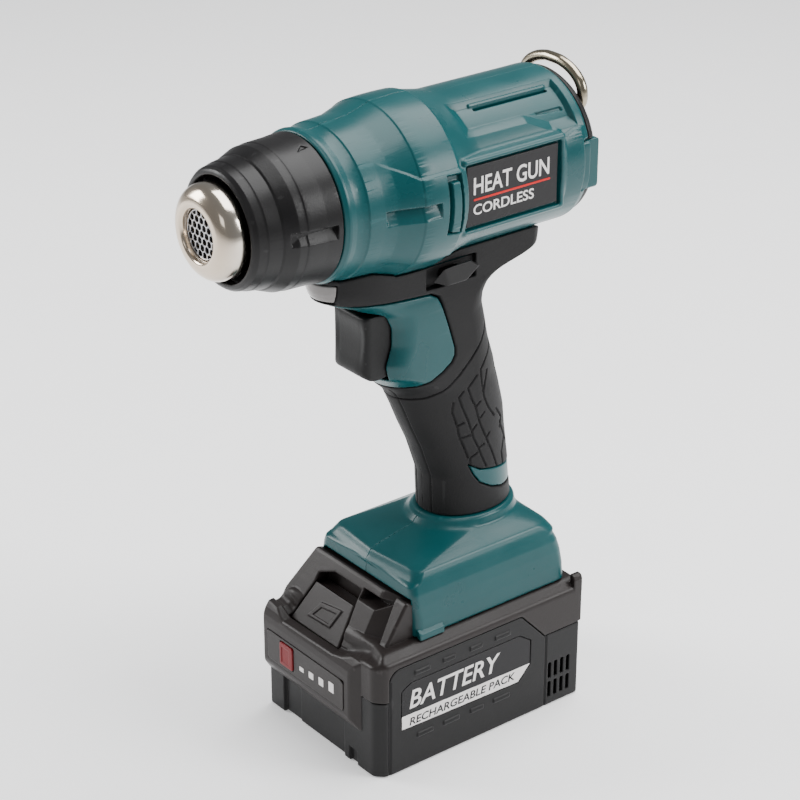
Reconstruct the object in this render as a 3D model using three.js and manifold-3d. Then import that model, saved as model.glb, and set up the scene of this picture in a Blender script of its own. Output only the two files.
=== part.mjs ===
// Cordless heat gun with a slide-on battery pack, in millimetres.
// +X points the way the hot air leaves, +Y to the tool's left, +Z up.
// The origin is the centre of the battery pack's flat base.

import * as THREE from 'three';
import { mergeVertices } from 'three/addons/utils/BufferGeometryUtils.js';
import Module from 'manifold-3d';

const wasm = await Module();
wasm.setup();

// ---------------------------------------------------------------- driving dimensions

const GAP = 0.3; // between pieces that rest on each other
const WALL = 2.4; // moulded housing wall
const MIN_ROUND = 0.8; // tightest corner left on an inset form

// battery pack: two layers of five cells lying across the pack
const PACK_LENGTH = 109;
const PACK_WIDTH = 76;
const PACK_FRONT_CORNER = 4;
const PACK_REAR_CORNER = 1.5;
const PACK_UPPER_REAR_X = -55.4;
const FASCIA_X = 57.6;
const PACK_SEAM_Z = 35.4; // top of the lower housing at both ends
const PACK_SIDE_Z = 49.6; // top of its raised side panels
const PACK_EDGE_Z = 52.7; // outer edge of the sloping ledge
const PACK_LEDGE_Z = 55.9; // inner edge of the sloping ledge
const CELL_RADIUS = 9.1;
const CELL_LENGTH = 65;
const CELL_PITCH = 18.8;
const CELL_ROWS_Z = [12.4, 31.5];

// rails that hold the pack under the tool's foot
const NECK_HALF = 26;
const HEAD_HALF = 28.8;
const HEAD_Z = 60.7;
const TOWER_TOP_Z = 72.4;
const TOWER_REAR_X = -46;
const RAMP_X = 32;

// barrel and hot-air path, on one axis along X
const BARREL_Z = 241.5;
const BARREL_RADIUS = 32;
const RIDGE_RADIUS = 35.2;
const BARREL_REAR_X = -57.2;
const BARREL_FRONT_X = 61.9;
const BORE_RADIUS = 26.5;
const SPIGOT_RADIUS = 24.3;
const NOZZLE_RADIUS = 19.3;
const NOZZLE_FRONT_X = 106.2;
const OUTLET_RADIUS = 10;
const MOTOR_RADIUS = 14;
const SHAFT_RADIUS = 1.5;
const ROUND = 26; // facets around the barrel, collar and nozzle

// handle
const SKIN = 2.6; // soft overmould thickness
const RAIL_HALF = 16.8;
const TRIGGER_HALF = 10.8;

// hanging ring
const WIRE_RADIUS = 2.2;
const RING_X = -64.4;
const RING_Z = 258.5;
const RING_HALF = 17.6;
const RING_TOP_Z = 274.9;

// ---------------------------------------------------------------- finishes

function finish(color, roughness, metalness = 0) {
  return new THREE.MeshStandardMaterial({ color, roughness, metalness, flatShading: true });
}

const TEAL = finish(0x1b7478, 0.45);
const RUBBER = finish(0x2e2c2d, 0.75);
const BLACK_PLASTIC = finish(0x262425, 0.5);
const GREY_PLASTIC = finish(0x3b3735, 0.5);
const STEEL = finish(0xc4bdb4, 0.22, 1);
const MICA = finish(0xb59a66, 0.6);
const CLEAR = finish(0xf2eee8, 0.15);
const BADGE = finish(0x161616, 0.35);
const RED = finish(0xa81f22, 0.4);
const BOARD = finish(0x1d5a35, 0.5);
const COPPER = finish(0xc98d5a, 0.35, 1);
const CELL_WRAP = finish(0x3f7fb0, 0.4);

// ---------------------------------------------------------------- solids

function toSolid(geometry) {
  const plain = geometry.clone();
  plain.deleteAttribute('normal');
  plain.deleteAttribute('uv');
  const merged = mergeVertices(plain, 1e-4);
  const index = merged.index.array;
  const triangles = [];
  for (let i = 0; i < index.length; i += 3) {
    const [a, b, c] = [index[i], index[i + 1], index[i + 2]];
    if (a !== b && b !== c && c !== a) triangles.push(a, b, c);
  }
  return new wasm.Manifold(
    new wasm.Mesh({
      numProp: 3,
      vertProperties: new Float32Array(merged.attributes.position.array),
      triVerts: new Uint32Array(triangles),
    }),
  );
}

function toMesh(name, solid, material) {
  const mesh = solid.getMesh();
  const geometry = new THREE.BufferGeometry();
  geometry.setAttribute('position', new THREE.BufferAttribute(mesh.vertProperties, 3));
  geometry.setIndex(new THREE.BufferAttribute(mesh.triVerts, 1));
  geometry.computeVertexNormals();
  const node = new THREE.Mesh(geometry, material);
  node.name = name;
  return node;
}

function block([x0, x1], [y0, y1], [z0, z1]) {
  const geometry = new THREE.BoxGeometry(x1 - x0, y1 - y0, z1 - z0);
  geometry.translate((x0 + x1) / 2, (y0 + y1) / 2, (z0 + z1) / 2);
  return toSolid(geometry);
}

function outline(points) {
  return new THREE.Shape(points.map(([u, v]) => new THREE.Vector2(u, v)));
}

// outline in X and Z, pushed along Y
function prismY(points, y0, y1) {
  const geometry = new THREE.ExtrudeGeometry(outline(points), { depth: y1 - y0, bevelEnabled: false });
  geometry.rotateX(Math.PI / 2);
  geometry.translate(0, y1, 0);
  return toSolid(geometry);
}

// outline in X and Y, pushed along Z
function prismZ(points, z0, z1) {
  const geometry = new THREE.ExtrudeGeometry(outline(points), { depth: z1 - z0, bevelEnabled: false });
  geometry.translate(0, 0, z0);
  return toSolid(geometry);
}

// outline in Y and Z, pushed along X
function prismX(points, x0, x1) {
  const geometry = new THREE.ExtrudeGeometry(outline(points), { depth: x1 - x0, bevelEnabled: false });
  geometry.rotateX(Math.PI / 2);
  geometry.rotateZ(Math.PI / 2);
  geometry.translate(x0, 0, 0);
  return toSolid(geometry);
}

// profile of [x, radius] points, turned about a line along X
function turned(profile, segments = ROUND, y = 0, z = BARREL_Z) {
  const points = profile.map(([x, radius]) => new THREE.Vector2(radius, -x));
  if (THREE.ShapeUtils.area(points) < 0) points.reverse();
  const geometry = new THREE.LatheGeometry(points, segments);
  geometry.rotateZ(Math.PI / 2);
  geometry.translate(0, y, z);
  return toSolid(geometry);
}

// solid rod or pipe about the barrel's own line
function pipe(x0, x1, outer, inner = 0, segments = ROUND) {
  if (inner === 0) return turned([[x0, 0], [x0, outer], [x1, outer], [x1, 0]], segments);
  return turned([[x0, inner], [x0, outer], [x1, outer], [x1, inner], [x0, inner]], segments);
}

function rodY(x, z, radius, y0, y1, segments = 8) {
  const geometry = new THREE.CylinderGeometry(radius, radius, y1 - y0, segments);
  geometry.translate(x, (y0 + y1) / 2, z);
  return toSolid(geometry);
}

function rodZ(x, y, radius, z0, z1, segments = 8) {
  const geometry = new THREE.CylinderGeometry(radius, radius, z1 - z0, segments);
  geometry.rotateX(Math.PI / 2);
  geometry.translate(x, y, (z0 + z1) / 2);
  return toSolid(geometry);
}

// stack of rounded sections, each [z, rear x, front x, half width, rear round, front round, side round]:
// the ends are quarter ellipses, as long as the rear or front round and as wide as the side round
function lofted(sections, inset = 0, cornerPoints = 4) {
  const sides = 4 * cornerPoints;
  const positions = [];
  for (const [z, rear, front, half, rearRound, frontRound, sideRound = half] of sections) {
    const wide = half - inset;
    const across = Math.min(wide, Math.max(sideRound - inset, MIN_ROUND));
    const along = [frontRound, rearRound].map((round) => Math.max(round - inset, MIN_ROUND));
    const ends = [front - inset - along[0], rear + inset + along[1]];
    for (let i = 0; i < sides; i++) {
      const quarter = Math.floor(i / cornerPoints);
      const turn = (Math.PI / 2) * (quarter + ((i % cornerPoints) + 0.5) / cornerPoints);
      const end = quarter === 0 || quarter === 3 ? 0 : 1;
      const towardY = quarter < 2 ? 1 : -1;
      positions.push(
        ends[end] + along[end] * Math.cos(turn),
        towardY * (wide - across) + across * Math.sin(turn),
        z,
      );
    }
  }
  const triangles = [];
  const last = (sections.length - 1) * sides;
  for (let row = 0; row < last; row += sides) {
    for (let i = 0; i < sides; i++) {
      const next = (i + 1) % sides;
      triangles.push(row + i, row + next, row + sides + next);
      triangles.push(row + i, row + sides + next, row + sides + i);
    }
  }
  for (let i = 1; i < sides - 1; i++) {
    triangles.push(0, i + 1, i);
    triangles.push(last, last + i, last + i + 1);
  }
  const geometry = new THREE.BufferGeometry();
  geometry.setAttribute('position', new THREE.Float32BufferAttribute(positions, 3));
  geometry.setIndex(triangles);
  return toSolid(geometry);
}

// round wire along a curve
function wire(curve, radius, steps, sides = 8) {
  const ring = [];
  for (let i = 0; i < sides; i++) {
    const turn = (2 * Math.PI * i) / sides;
    ring.push([radius * Math.cos(turn), radius * Math.sin(turn)]);
  }
  const options = { steps, extrudePath: curve, bevelEnabled: false };
  return toSolid(new THREE.ExtrudeGeometry(outline(ring), options));
}

class Helix extends THREE.Curve {
  constructor(start, end, radius, turns, across) {
    super();
    Object.assign(this, { start, end, radius, turns, across });
  }
  getPoint(t, target = new THREE.Vector3()) {
    const turn = 2 * Math.PI * this.turns * t;
    const [u, v] = this.across;
    target.copy(this.start).lerp(this.end, t);
    target.addScaledVector(u, this.radius * Math.cos(turn));
    target.addScaledVector(v, this.radius * Math.sin(turn));
    return target;
  }
}

const ALONG_X = new THREE.Vector3(1, 0, 0);
const ALONG_Y = new THREE.Vector3(0, 1, 0);
const ALONG_Z = new THREE.Vector3(0, 0, 1);

const part = new THREE.Group();

function add(name, solid, material) {
  part.add(toMesh(name, solid, material));
}

// left of the split line, or right of it
function half(solid, side) {
  const reach = side > 0 ? [GAP / 2, 60] : [-60, -GAP / 2];
  return solid.intersect(block([-120, 140], reach, [-10, 300]));
}

const SIDES = [
  ['left', 1],
  ['right', -1],
];

// ---------------------------------------------------------------- handle and foot forms

// [z, rear x, front x, half width, rear round, front round]
const HANDLE_SECTIONS = [
  [90, -41.9, 1.2, 17, 21.5, 21.5],
  [110, -39.8, 2, 17, 20.9, 20.9],
  [125, -37.9, 7.3, 17, 22, 22],
  [135, -37, 12.2, 17, 23, 24],
  [145, -34.4, 16.5, 17.3, 22, 26],
  [153, -31.8, 20.4, 17.3, 20, 26],
  [159, -30.2, 27, 17.3, 18, 22],
  [164, -28.2, 32, 17.3, 16, 14],
  [170, -26.2, 33, 17.3, 15, 12],
  [178, -24.4, 30.2, 17.3, 14, 12],
  [186, -22.6, 30.4, 17.3, 14, 13],
  [191.5, -22.6, 34, 17.2, 12, 16],
  [195.8, -24.8, 43, 17, 11, 21],
  [199, -29, 51.5, RAIL_HALF, 10, 25],
  [201.2, -34.8, 55, RAIL_HALF, 9, 26],
  [202.8, -43, 56.4, RAIL_HALF, 9, 27],
  [205, -49.4, 57.3, RAIL_HALF, 9, 27],
  [210, -50.2, 57.5, RAIL_HALF, 9, 27],
  [224, -50.6, 57.5, RAIL_HALF, 9, 27],
];

// as above, with the side round
const FOOT_SECTIONS = [
  [56.2, -50.5, 30.6, 33, 4, 4, 4],
  [66, -50.3, 31, 32.8, 4.5, 4.5, 4.5],
  [74.5, -48.5, 31.3, 31.6, 5.5, 5.5, 5.5],
  [79, -46.6, 29.2, 29.6, 6.5, 6.5, 6.5],
  [83, -44.2, 26.8, 26.6, 9, 8, 8],
  [84.6, -43.5, 23.6, 24.4, 11, 10, 10],
  [86.2, -43, 14, 22, 15, 14, 14],
  [88, -42.6, 5, 19.6, 19, 18, 18],
  [92, -42.1, 1.8, 17.5, 21.8, 21.8, 17.5],
];

const TEAL_PANEL = [
  [58, 199.9],
  [35.8, 199.2],
  [10.1, 197.3],
  [6.1, 194],
  [2, 182],
  [-1.2, 170.5],
  [0.8, 165.8],
  [11, 160.9],
  [22, 158.5],
  [32, 158.5],
  [34, 180],
  [40, 193],
  [58, 196],
];

const SCREW_PLACES = [
  [-45, 204.6],
  [46, 204.6],
  [-14, 180],
  [-12, 140],
  [-22, 106],
];
const SCREW_HEAD_Y = -9;
const SCREW_TIP_Y = 6;

function screwSpace(grow) {
  let space = null;
  for (const [x, z] of SCREW_PLACES) {
    const head = rodY(x, z, 3.5 + grow, -20, SCREW_HEAD_Y + grow);
    const shank = rodY(x, z, 1.7 + grow, SCREW_HEAD_Y, SCREW_TIP_Y + grow);
    space = space ? space.add(head).add(shank) : head.add(shank);
  }
  return space;
}

function screwBosses() {
  return SCREW_PLACES.map(([x, z]) => rodY(x, z, 5, -16, 16)).reduce((a, b) => a.add(b));
}

// handle sections with the rail's underside lifted, so that a layer inset sideways also has depth there
function liftTop(lift) {
  return HANDLE_SECTIONS.map(([z, ...rest]) => [z > 192 ? z + lift : z, ...rest]);
}

const outerHandle = lofted(HANDLE_SECTIONS);
const coreHandle = lofted(liftTop(1.6), SKIN);
const coreWithGap = lofted(liftTop(1.6 - GAP), SKIN - GAP);
const handleHollow = lofted(liftTop(3.6), SKIN + WALL, 3);

const lensBand = block([51.6, 70], [-20, 20], [201.9, 210.1]);
const triggerPocket = prismY(
  [[16, 164.2], [50, 162.2], [50, 193.2], [16, 193.2]],
  -TRIGGER_HALF - GAP,
  TRIGGER_HALF + GAP,
);
const shuttleSlot = block([-3.4, 5.4], [-20, 20], [201, 206.4]).add(
  block([-11.4, 13.4], [-20, -13.6], [200.4, 209.8]),
).add(block([-11.4, 13.4], [13.6, 20], [200.4, 209.8]));

// ---------------------------------------------------------------- tool housing

// [x, radius] down the outside of the barrel: plain at the rear, a rounded swell, a plain front ring
const BARREL_PROFILE = [
  [BARREL_REAR_X, BARREL_RADIUS - 1],
  [BARREL_REAR_X + 1, BARREL_RADIUS],
  [-3.8, BARREL_RADIUS],
  [4, RIDGE_RADIUS - 1.1],
  [13, RIDGE_RADIUS],
  [23, RIDGE_RADIUS],
  [32, RIDGE_RADIUS - 1.6],
  [39, RIDGE_RADIUS - 3.7],
  [45, 30.8],
  [58, 30.2],
  [60.8, 29.8],
  [BARREL_FRONT_X, 28.8],
];

function barrelForm(grow = 0, overrun = 0) {
  const profile = BARREL_PROFILE.map(([x, radius]) => [x, radius + grow]);
  profile[0][0] -= overrun;
  profile[profile.length - 1][0] += overrun;
  return turned([[profile[0][0], 0], ...profile, [profile[profile.length - 1][0], 0]]);
}

function barrelHollow() {
  return pipe(BARREL_REAR_X - 1, 46.6, BORE_RADIUS).add(
    pipe(40, BARREL_FRONT_X + 1, SPIGOT_RADIUS + GAP),
  );
}

const PLATE_X = [-39.8, 6.6];
const PLATE_Z = [229, 253.7];
const PLATE_FRAME_Y = 32.3;
const PLATE_FLOOR_Y = 30.4;

// block between two distances from the middle plane, on one side
function sideBlock(x, side, near, far, z) {
  return block(x, side > 0 ? [near, far] : [-far, -near], z);
}

function plateFrame(side) {
  const x = [PLATE_X[0] - 3.5, PLATE_X[1] + 3.5];
  return sideBlock(x, side, 24, PLATE_FRAME_Y, [PLATE_Z[0] - 3, PLATE_Z[1] + 3]);
}

function plateRecess(side) {
  return sideBlock(PLATE_X, side, PLATE_FLOOR_Y, 40, PLATE_Z);
}

// clip that laps over the rear cap
function capClip(side, grow) {
  const bar = sideBlock([-63.4 - grow, -56], side, 20 - grow, 31 + grow, [229 - grow, 250 + grow]);
  return bar.intersect(pipe(-70, -50, BARREL_RADIUS - 0.4 + grow));
}

function footForm() {
  const tab = (side) => prismX(
    [[31 * side, 56.2], [33 * side, 56.2], [34.4 * side, 55.3], [34.4 * side, 58.5], [31 * side, 62]],
    17,
    29.6,
  );
  return lofted(FOOT_SECTIONS).add(tab(1)).add(tab(-1));
}

// space for the pack's tower, with a lip along each side to hold its rails
function footHollow() {
  const channel = block([-46.4, 60], [-HEAD_HALF - GAP, HEAD_HALF + GAP], [HEAD_Z - GAP, 73.2]);
  const neck = block([-46.4, 60], [-NECK_HALF - GAP, NECK_HALF + GAP], [50, 62]);
  const roof = lofted([
    [73, -45.6, 28.4, 28.6, 5, 5, 5],
    [78, -44, 26.4, 27.6, 5, 5, 5],
    [81.4, -42, 22.6, 25.8, 6, 6, 6],
    [84, -40, 14, 20, 10, 10, 10],
  ]);
  return channel.add(neck).add(roof);
}

function housing() {
  const solid = coreHandle
    .add(outerHandle.intersect(prismY(TEAL_PANEL, -20, 20)))
    .add(barrelForm())
    .add(plateFrame(1))
    .add(plateFrame(-1))
    .add(capClip(1, 0))
    .add(capClip(-1, 0))
    .add(footForm());
  const hollow = handleHollow.add(barrelHollow()).add(footHollow());
  return solid
    .subtract(hollow)
    .add(screwBosses().intersect(coreHandle).subtract(barrelHollow()))
    .subtract(screwSpace(GAP))
    .subtract(triggerPocket)
    .subtract(shuttleSlot)
    .subtract(lensBand)
    .subtract(plateRecess(1))
    .subtract(plateRecess(-1));
}

function grip() {
  const barrelSpace = barrelForm(GAP, 50);
  const panelSpace = prismY(
    TEAL_PANEL.map(([x, z]) => [x + (x > 11 ? 0 : -GAP), z + (z > 175 ? GAP : -GAP)]),
    -30,
    30,
  );
  const footSpace = lofted(FOOT_SECTIONS.map(([z, ...rest]) => [z + GAP, ...rest]), -GAP);
  return outerHandle
    .subtract(coreWithGap)
    .subtract(panelSpace)
    .subtract(barrelSpace)
    .subtract(footSpace)
    .subtract(screwSpace(GAP))
    .subtract(shuttleSlot)
    .subtract(lensBand);
}

const wholeHousing = housing();
const wholeGrip = grip();
for (const [word, side] of SIDES) {
  add(`${word}_housing`, half(wholeHousing, side), TEAL);
  add(`${word}_grip`, half(wholeGrip, side), RUBBER);
  const plateX = [PLATE_X[0] + GAP, PLATE_X[1] - GAP];
  const plateZ = [PLATE_Z[0] + GAP, PLATE_Z[1] - GAP];
  const plate = sideBlock(plateX, side, PLATE_FLOOR_Y + GAP, PLATE_FRAME_Y - 0.6, plateZ);
  add(`${word}_name_plate`, plate, BADGE);
}

SCREW_PLACES.forEach(([x, z], i) => {
  const screw = rodY(x, z, 3.4, SCREW_HEAD_Y - 2.6, SCREW_HEAD_Y).add(
    rodY(x, z, 1.6, SCREW_HEAD_Y - 0.5, SCREW_TIP_Y),
  );
  add(`housing_screw_${i + 1}`, screw, STEEL);
});

// ---------------------------------------------------------------- hot-air path

function frontCollar() {
  const body = turned([
    [48, 22.8],
    [48, SPIGOT_RADIUS],
    [BARREL_FRONT_X + GAP, SPIGOT_RADIUS],
    [BARREL_FRONT_X + GAP, 29.2],
    [69, 28.6],
    [81.5, 27.9],
    [86.5, 25.6],
    [92.9, 24.6],
    [96.5, 23.6],
    [98.3, 22],
    [98.3, 20.5],
    [95, 20.5],
    [95, 22.8],
    [48, 22.8],
  ]);
  const grooves = block([65, 84], [26, 40], [BARREL_Z - 2, BARREL_Z + 2]).add(
    block([65, 84], [-40, -26], [BARREL_Z - 2, BARREL_Z + 2]),
  );
  return body.subtract(grooves);
}

function nozzle() {
  return turned([
    [56, 17.4],
    [56, 21],
    [58, 21],
    [58, 18.6],
    [95, 18.6],
    [97.5, NOZZLE_RADIUS],
    [100.5, NOZZLE_RADIUS - 0.1],
    [103, 18],
    [105, 16],
    [NOZZLE_FRONT_X, 13.4],
    [NOZZLE_FRONT_X, OUTLET_RADIUS],
    [103.2, OUTLET_RADIUS],
    [103.2, 14.4],
    [101, 17.4],
    [56, 17.4],
  ]);
}

// plate with rings of six-sided holes: one, six and twelve
function outletGrille() {
  const pitch = 3.7;
  const holeRadius = 1.6;
  let plate = pipe(103.4, 105.4, OUTLET_RADIUS - GAP, 0, 24);
  for (let q = -2; q <= 2; q++) {
    for (let r = -2; r <= 2; r++) {
      if (Math.abs(q + r) > 2) continue;
      const y = pitch * (q + r / 2);
      const z = BARREL_Z + pitch * r * Math.sin(Math.PI / 3);
      plate = plate.subtract(
        turned([[100, 0], [100, holeRadius], [110, holeRadius], [110, 0]], 6, y, z),
      );
    }
  }
  return plate;
}

function heaterCross() {
  const flat = block([42, 95], [-11.4, 11.4], [BARREL_Z - 0.5, BARREL_Z + 0.5]);
  const upright = block([42, 95], [-0.5, 0.5], [BARREL_Z - 11.4, BARREL_Z + 11.4]);
  return flat.add(upright);
}

function heatingCoil() {
  const start = new THREE.Vector3(46, 0, BARREL_Z);
  const end = new THREE.Vector3(91, 0, BARREL_Z);
  const turns = 8;
  return wire(new Helix(start, end, 13, turns, [ALONG_Y, ALONG_Z]), 0.55, turns * 10, 4);
}

add('front_collar', frontCollar(), BLACK_PLASTIC);
add('nozzle', nozzle(), STEEL);
add('outlet_grille', outletGrille(), STEEL);
add('heat_shield_tube', pipe(49, 92, 22.2, 21.5), STEEL);
add('mica_tube', pipe(40, 97, 15.2, 14.4, 24), MICA);
add('heater_cross', heaterCross(), MICA);
add('heating_coil', heatingCoil(), COPPER);
add('thermal_cutout', turned([[48, 0], [48, 2.2], [60, 2.2], [60, 0]], 10, 5, BARREL_Z + 5), BLACK_PLASTIC);

// ---------------------------------------------------------------- fan

const MOTOR_X = [-20, 14];

function fanMotor() {
  const can = pipe(...MOTOR_X, MOTOR_RADIUS, 0, 24).add(pipe(MOTOR_X[0] - 2, MOTOR_X[1] + 2, 4, 0, 16));
  return can.subtract(pipe(MOTOR_X[0] - 5, 0, SHAFT_RADIUS + 0.1, 0, 12));
}

function motorCarrier() {
  const x = [-12, 6];
  let carrier = pipe(...x, BORE_RADIUS - GAP, 24.4).add(pipe(...x, 16, MOTOR_RADIUS + GAP));
  const reach = (near, far) => [[near, far], [-far, -near]];
  for (const span of reach(15, 25)) {
    carrier = carrier.add(block(x, span, [BARREL_Z - 1, BARREL_Z + 1]));
    carrier = carrier.add(block(x, [-1, 1], span.map((value) => value + BARREL_Z)));
  }
  return carrier;
}

function impeller() {
  const hub = turned([[-48, 0], [-46, 5], [-40, 9], [-28, 10], [-28, 0]], 24);
  let wheel = hub;
  const blades = 7;
  for (let i = 0; i < blades; i++) {
    const blade = new THREE.BoxGeometry(16, 1.2, 15);
    blade.rotateZ(0.7);
    blade.translate(0, 0, 16);
    blade.rotateX((2 * Math.PI * i) / blades);
    blade.translate(-37, 0, BARREL_Z);
    wheel = wheel.add(toSolid(blade));
  }
  return wheel.subtract(pipe(-44, -20, SHAFT_RADIUS + GAP, 0, 12));
}

add('fan_motor', fanMotor(), STEEL);
add('motor_carrier', motorCarrier(), BLACK_PLASTIC);
add('fan_impeller', impeller(), BLACK_PLASTIC);
add('motor_shaft', pipe(-43.6, -2, SHAFT_RADIUS, 0, 12), STEEL);

// ---------------------------------------------------------------- rear cap and hanging ring

const CAP_FACE_X = -61.6;
const CAP_RADIUS = 31;
const BAR_HALF = 13;

function rearCap() {
  let cap = turned([
    [-50, 24.4],
    [-50, BORE_RADIUS - GAP],
    [BARREL_REAR_X - GAP, BORE_RADIUS - GAP],
    [BARREL_REAR_X - GAP, CAP_RADIUS],
    [-60.2, CAP_RADIUS - 0.4],
    [CAP_FACE_X, CAP_RADIUS - 2.4],
    [CAP_FACE_X, 0],
    [-58.6, 0],
    [-58.6, 24.4],
    [-50, 24.4],
  ]);
  const bar = block([-68.4, -60], [-BAR_HALF, BAR_HALF], [RING_Z - 4.2, RING_Z + 4.2]);
  cap = cap.add(bar).subtract(rodY(RING_X, RING_Z, WIRE_RADIUS + 0.1, -30, 30, 16));
  for (let row = 0; row < 7; row++) {
    const z = BARREL_Z - 21 + row * 5;
    const reach = Math.sqrt(22 ** 2 - (z - BARREL_Z) ** 2);
    cap = cap.subtract(block([-70, -50], [-reach, reach], [z - 1.2, z + 1.2]));
  }
  const rib = block([CAP_FACE_X, -58.6], [-1.5, 1.5], [BARREL_Z - 24, BARREL_Z + 13]);
  return cap.add(rib).subtract(capClip(1, GAP)).subtract(capClip(-1, GAP));
}

// open loop whose two ends turn inwards into the cap's bar
function hangingRing() {
  const bend = 4;
  const shoulderZ = RING_Z + bend + 1.5;
  const rightHalf = [[7, RING_Z], [10, RING_Z], [RING_HALF - bend, RING_Z]];
  for (const turn of [30, 60, 90]) {
    const angle = THREE.MathUtils.degToRad(turn);
    rightHalf.push([
      RING_HALF - bend + bend * Math.sin(angle),
      RING_Z + bend - bend * Math.cos(angle),
    ]);
  }
  for (const turn of [0, 20, 40, 60, 80]) {
    const angle = THREE.MathUtils.degToRad(turn);
    rightHalf.push([
      RING_HALF * Math.cos(angle),
      shoulderZ + (RING_TOP_Z - shoulderZ) * Math.sin(angle),
    ]);
  }
  const side = (sign) => rightHalf.map(([y, z]) => new THREE.Vector3(RING_X, sign * y, z));
  const curve = new THREE.CatmullRomCurve3([...side(-1), ...side(1).reverse()]);
  return wire(curve, WIRE_RADIUS, 36, 8);
}

add('rear_cap', rearCap(), BLACK_PLASTIC);
add('hanging_ring', hangingRing(), STEEL);

// ---------------------------------------------------------------- trigger, shuttle and light

const SWITCH_FRONT_X = 8;
const TRIGGER_REAR_X = 20;

function trigger() {
  const body = prismY([
    [TRIGGER_REAR_X, 166.4],
    [30, 165],
    [36, 165.4],
    [40.4, 168.8],
    [41.8, 173.4],
    [40.4, 178],
    [39.4, 184],
    [40, 189.6],
    [38, 192.6],
    [TRIGGER_REAR_X, 192.6],
  ], -TRIGGER_HALF, TRIGGER_HALF);
  const fingerCorners = [-1, 1].map((side) => prismZ(
    [[33, 13 * side], [45, 13 * side], [45, 3.4 * side]],
    160,
    200,
  ));
  return fingerCorners.reduce((solid, cut) => solid.subtract(cut), body);
}

add('trigger', trigger(), GREY_PLASTIC);
add('trigger_switch', block([-6, SWITCH_FRONT_X], [-7, 7], [168, 192]), BLACK_PLASTIC);
add('trigger_spring', wire(new Helix(
  new THREE.Vector3(SWITCH_FRONT_X + 1, 0, 180),
  new THREE.Vector3(TRIGGER_REAR_X - 1, 0, 180),
  3.2,
  4,
  [ALONG_Y, ALONG_Z],
), 0.45, 36, 4), STEEL);

function shuttle() {
  const lever = (side) => prismY(
    [[-10.6, 206], [-4, 201.2], [6, 201.2], [12.6, 203.5], [10, 209.2], [-6, 209.2]],
    side > 0 ? 17 : -20.4,
    side > 0 ? 20.4 : -17,
  );
  return block([-2.8, 4.8], [-18, 18], [201.6, 205.8]).add(lever(1)).add(lever(-1));
}

function lightLens() {
  const band = block([51.9, 70], [-20, 20], [202.2, 209.8]);
  return outerHandle.intersect(band).subtract(block([40, 54.2], [-5.4, 5.4], [200, 212]));
}

add('lock_shuttle', shuttle(), BLACK_PLASTIC);
add('light_lens', lightLens(), CLEAR);
add('light_board', block([52.2, 53.4], [-4.8, 4.8], [203.4, 208.6]), BOARD);

// ---------------------------------------------------------------- tool electronics

const BLADE_YS = [-14, 0, 14];

function toolTerminals() {
  let terminals = block([-41.4, -25], [-19, 19], [73.8, 77.6]);
  for (const y of BLADE_YS) {
    terminals = terminals.add(block([-40.4, -26.6], [y - 0.5, y + 0.5], [64.4, 74.4]));
  }
  return terminals;
}

add('tool_terminals', toolTerminals(), BLACK_PLASTIC);
add('control_board', block([-22, 22], [-18, 18], [75, 76.6]), BOARD);
add('board_heat_sink', block([-6, 12], [-10, 10], [76.9, 81]), STEEL);

// ---------------------------------------------------------------- battery pack

function packPlan(inset) {
  const x = PACK_LENGTH / 2 - inset;
  const y = PACK_WIDTH / 2 - inset;
  const front = Math.max(PACK_FRONT_CORNER - inset * 0.4, 0.5);
  const rear = Math.max(PACK_REAR_CORNER - inset * 0.4, 0.5);
  return [
    [-x, -y + rear], [-x + rear, -y], [x - front, -y], [x, -y + front],
    [x, y - front], [x - front, y], [-x + rear, y], [-x, y - rear],
  ];
}

// side view of the lower housing, grown to leave a gap for the upper one
function lowerSide(grow) {
  return [
    [-80, -5],
    [80, -5],
    [80, PACK_SEAM_Z + grow],
    [48.5 + grow, PACK_SEAM_Z + grow],
    [48.5 + grow, PACK_SIDE_Z + grow],
    [-21.4 - grow, PACK_SIDE_Z + grow],
    [-34.7 - grow, PACK_SEAM_Z + grow],
    [-80, PACK_SEAM_Z + grow],
  ];
}

const PACK_SCREWS = [[-49.9, -33.2], [-49.9, 33.2], [49.9, -33.2], [49.9, 33.2]];
const BUTTON_Y = [-25, -16];
const BUTTON_Z = [27.4, 38.2];
const PANEL_Y = [-34.3, 18.3];
const PANEL_Z = [25.6, 39.6];

function widened([low, high], grow) {
  return [low - grow, high + grow];
}

function buttonSpace() {
  return block([40, 70], widened(BUTTON_Y, GAP), widened(BUTTON_Z, GAP));
}

function packScrewSpace() {
  return PACK_SCREWS.map(([x, y]) => rodZ(x, y, 2.5, -1, 3.2).add(rodZ(x, y, 1.5, 3, 42)))
    .reduce((a, b) => a.add(b));
}

function packPillars(z0, z1) {
  return PACK_SCREWS.map(([x, y]) => rodZ(x, y, 2.9, z0, z1)).reduce((a, b) => a.add(b));
}

const LABEL = [
  [42.4, 19.7], [42.4, 36], [37.2, 40.8], [-20.5, 40.8], [-26.6, 36.5], [-26.6, 25.3], [-20.1, 18.4],
];

function scaledOutline(points, grow) {
  const middle = points.reduce(([a, b], [x, z]) => [a + x / points.length, b + z / points.length], [0, 0]);
  return points.map(([x, z]) => [
    x + Math.sign(x - middle[0]) * grow,
    z + Math.sign(z - middle[1]) * grow,
  ]);
}

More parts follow.
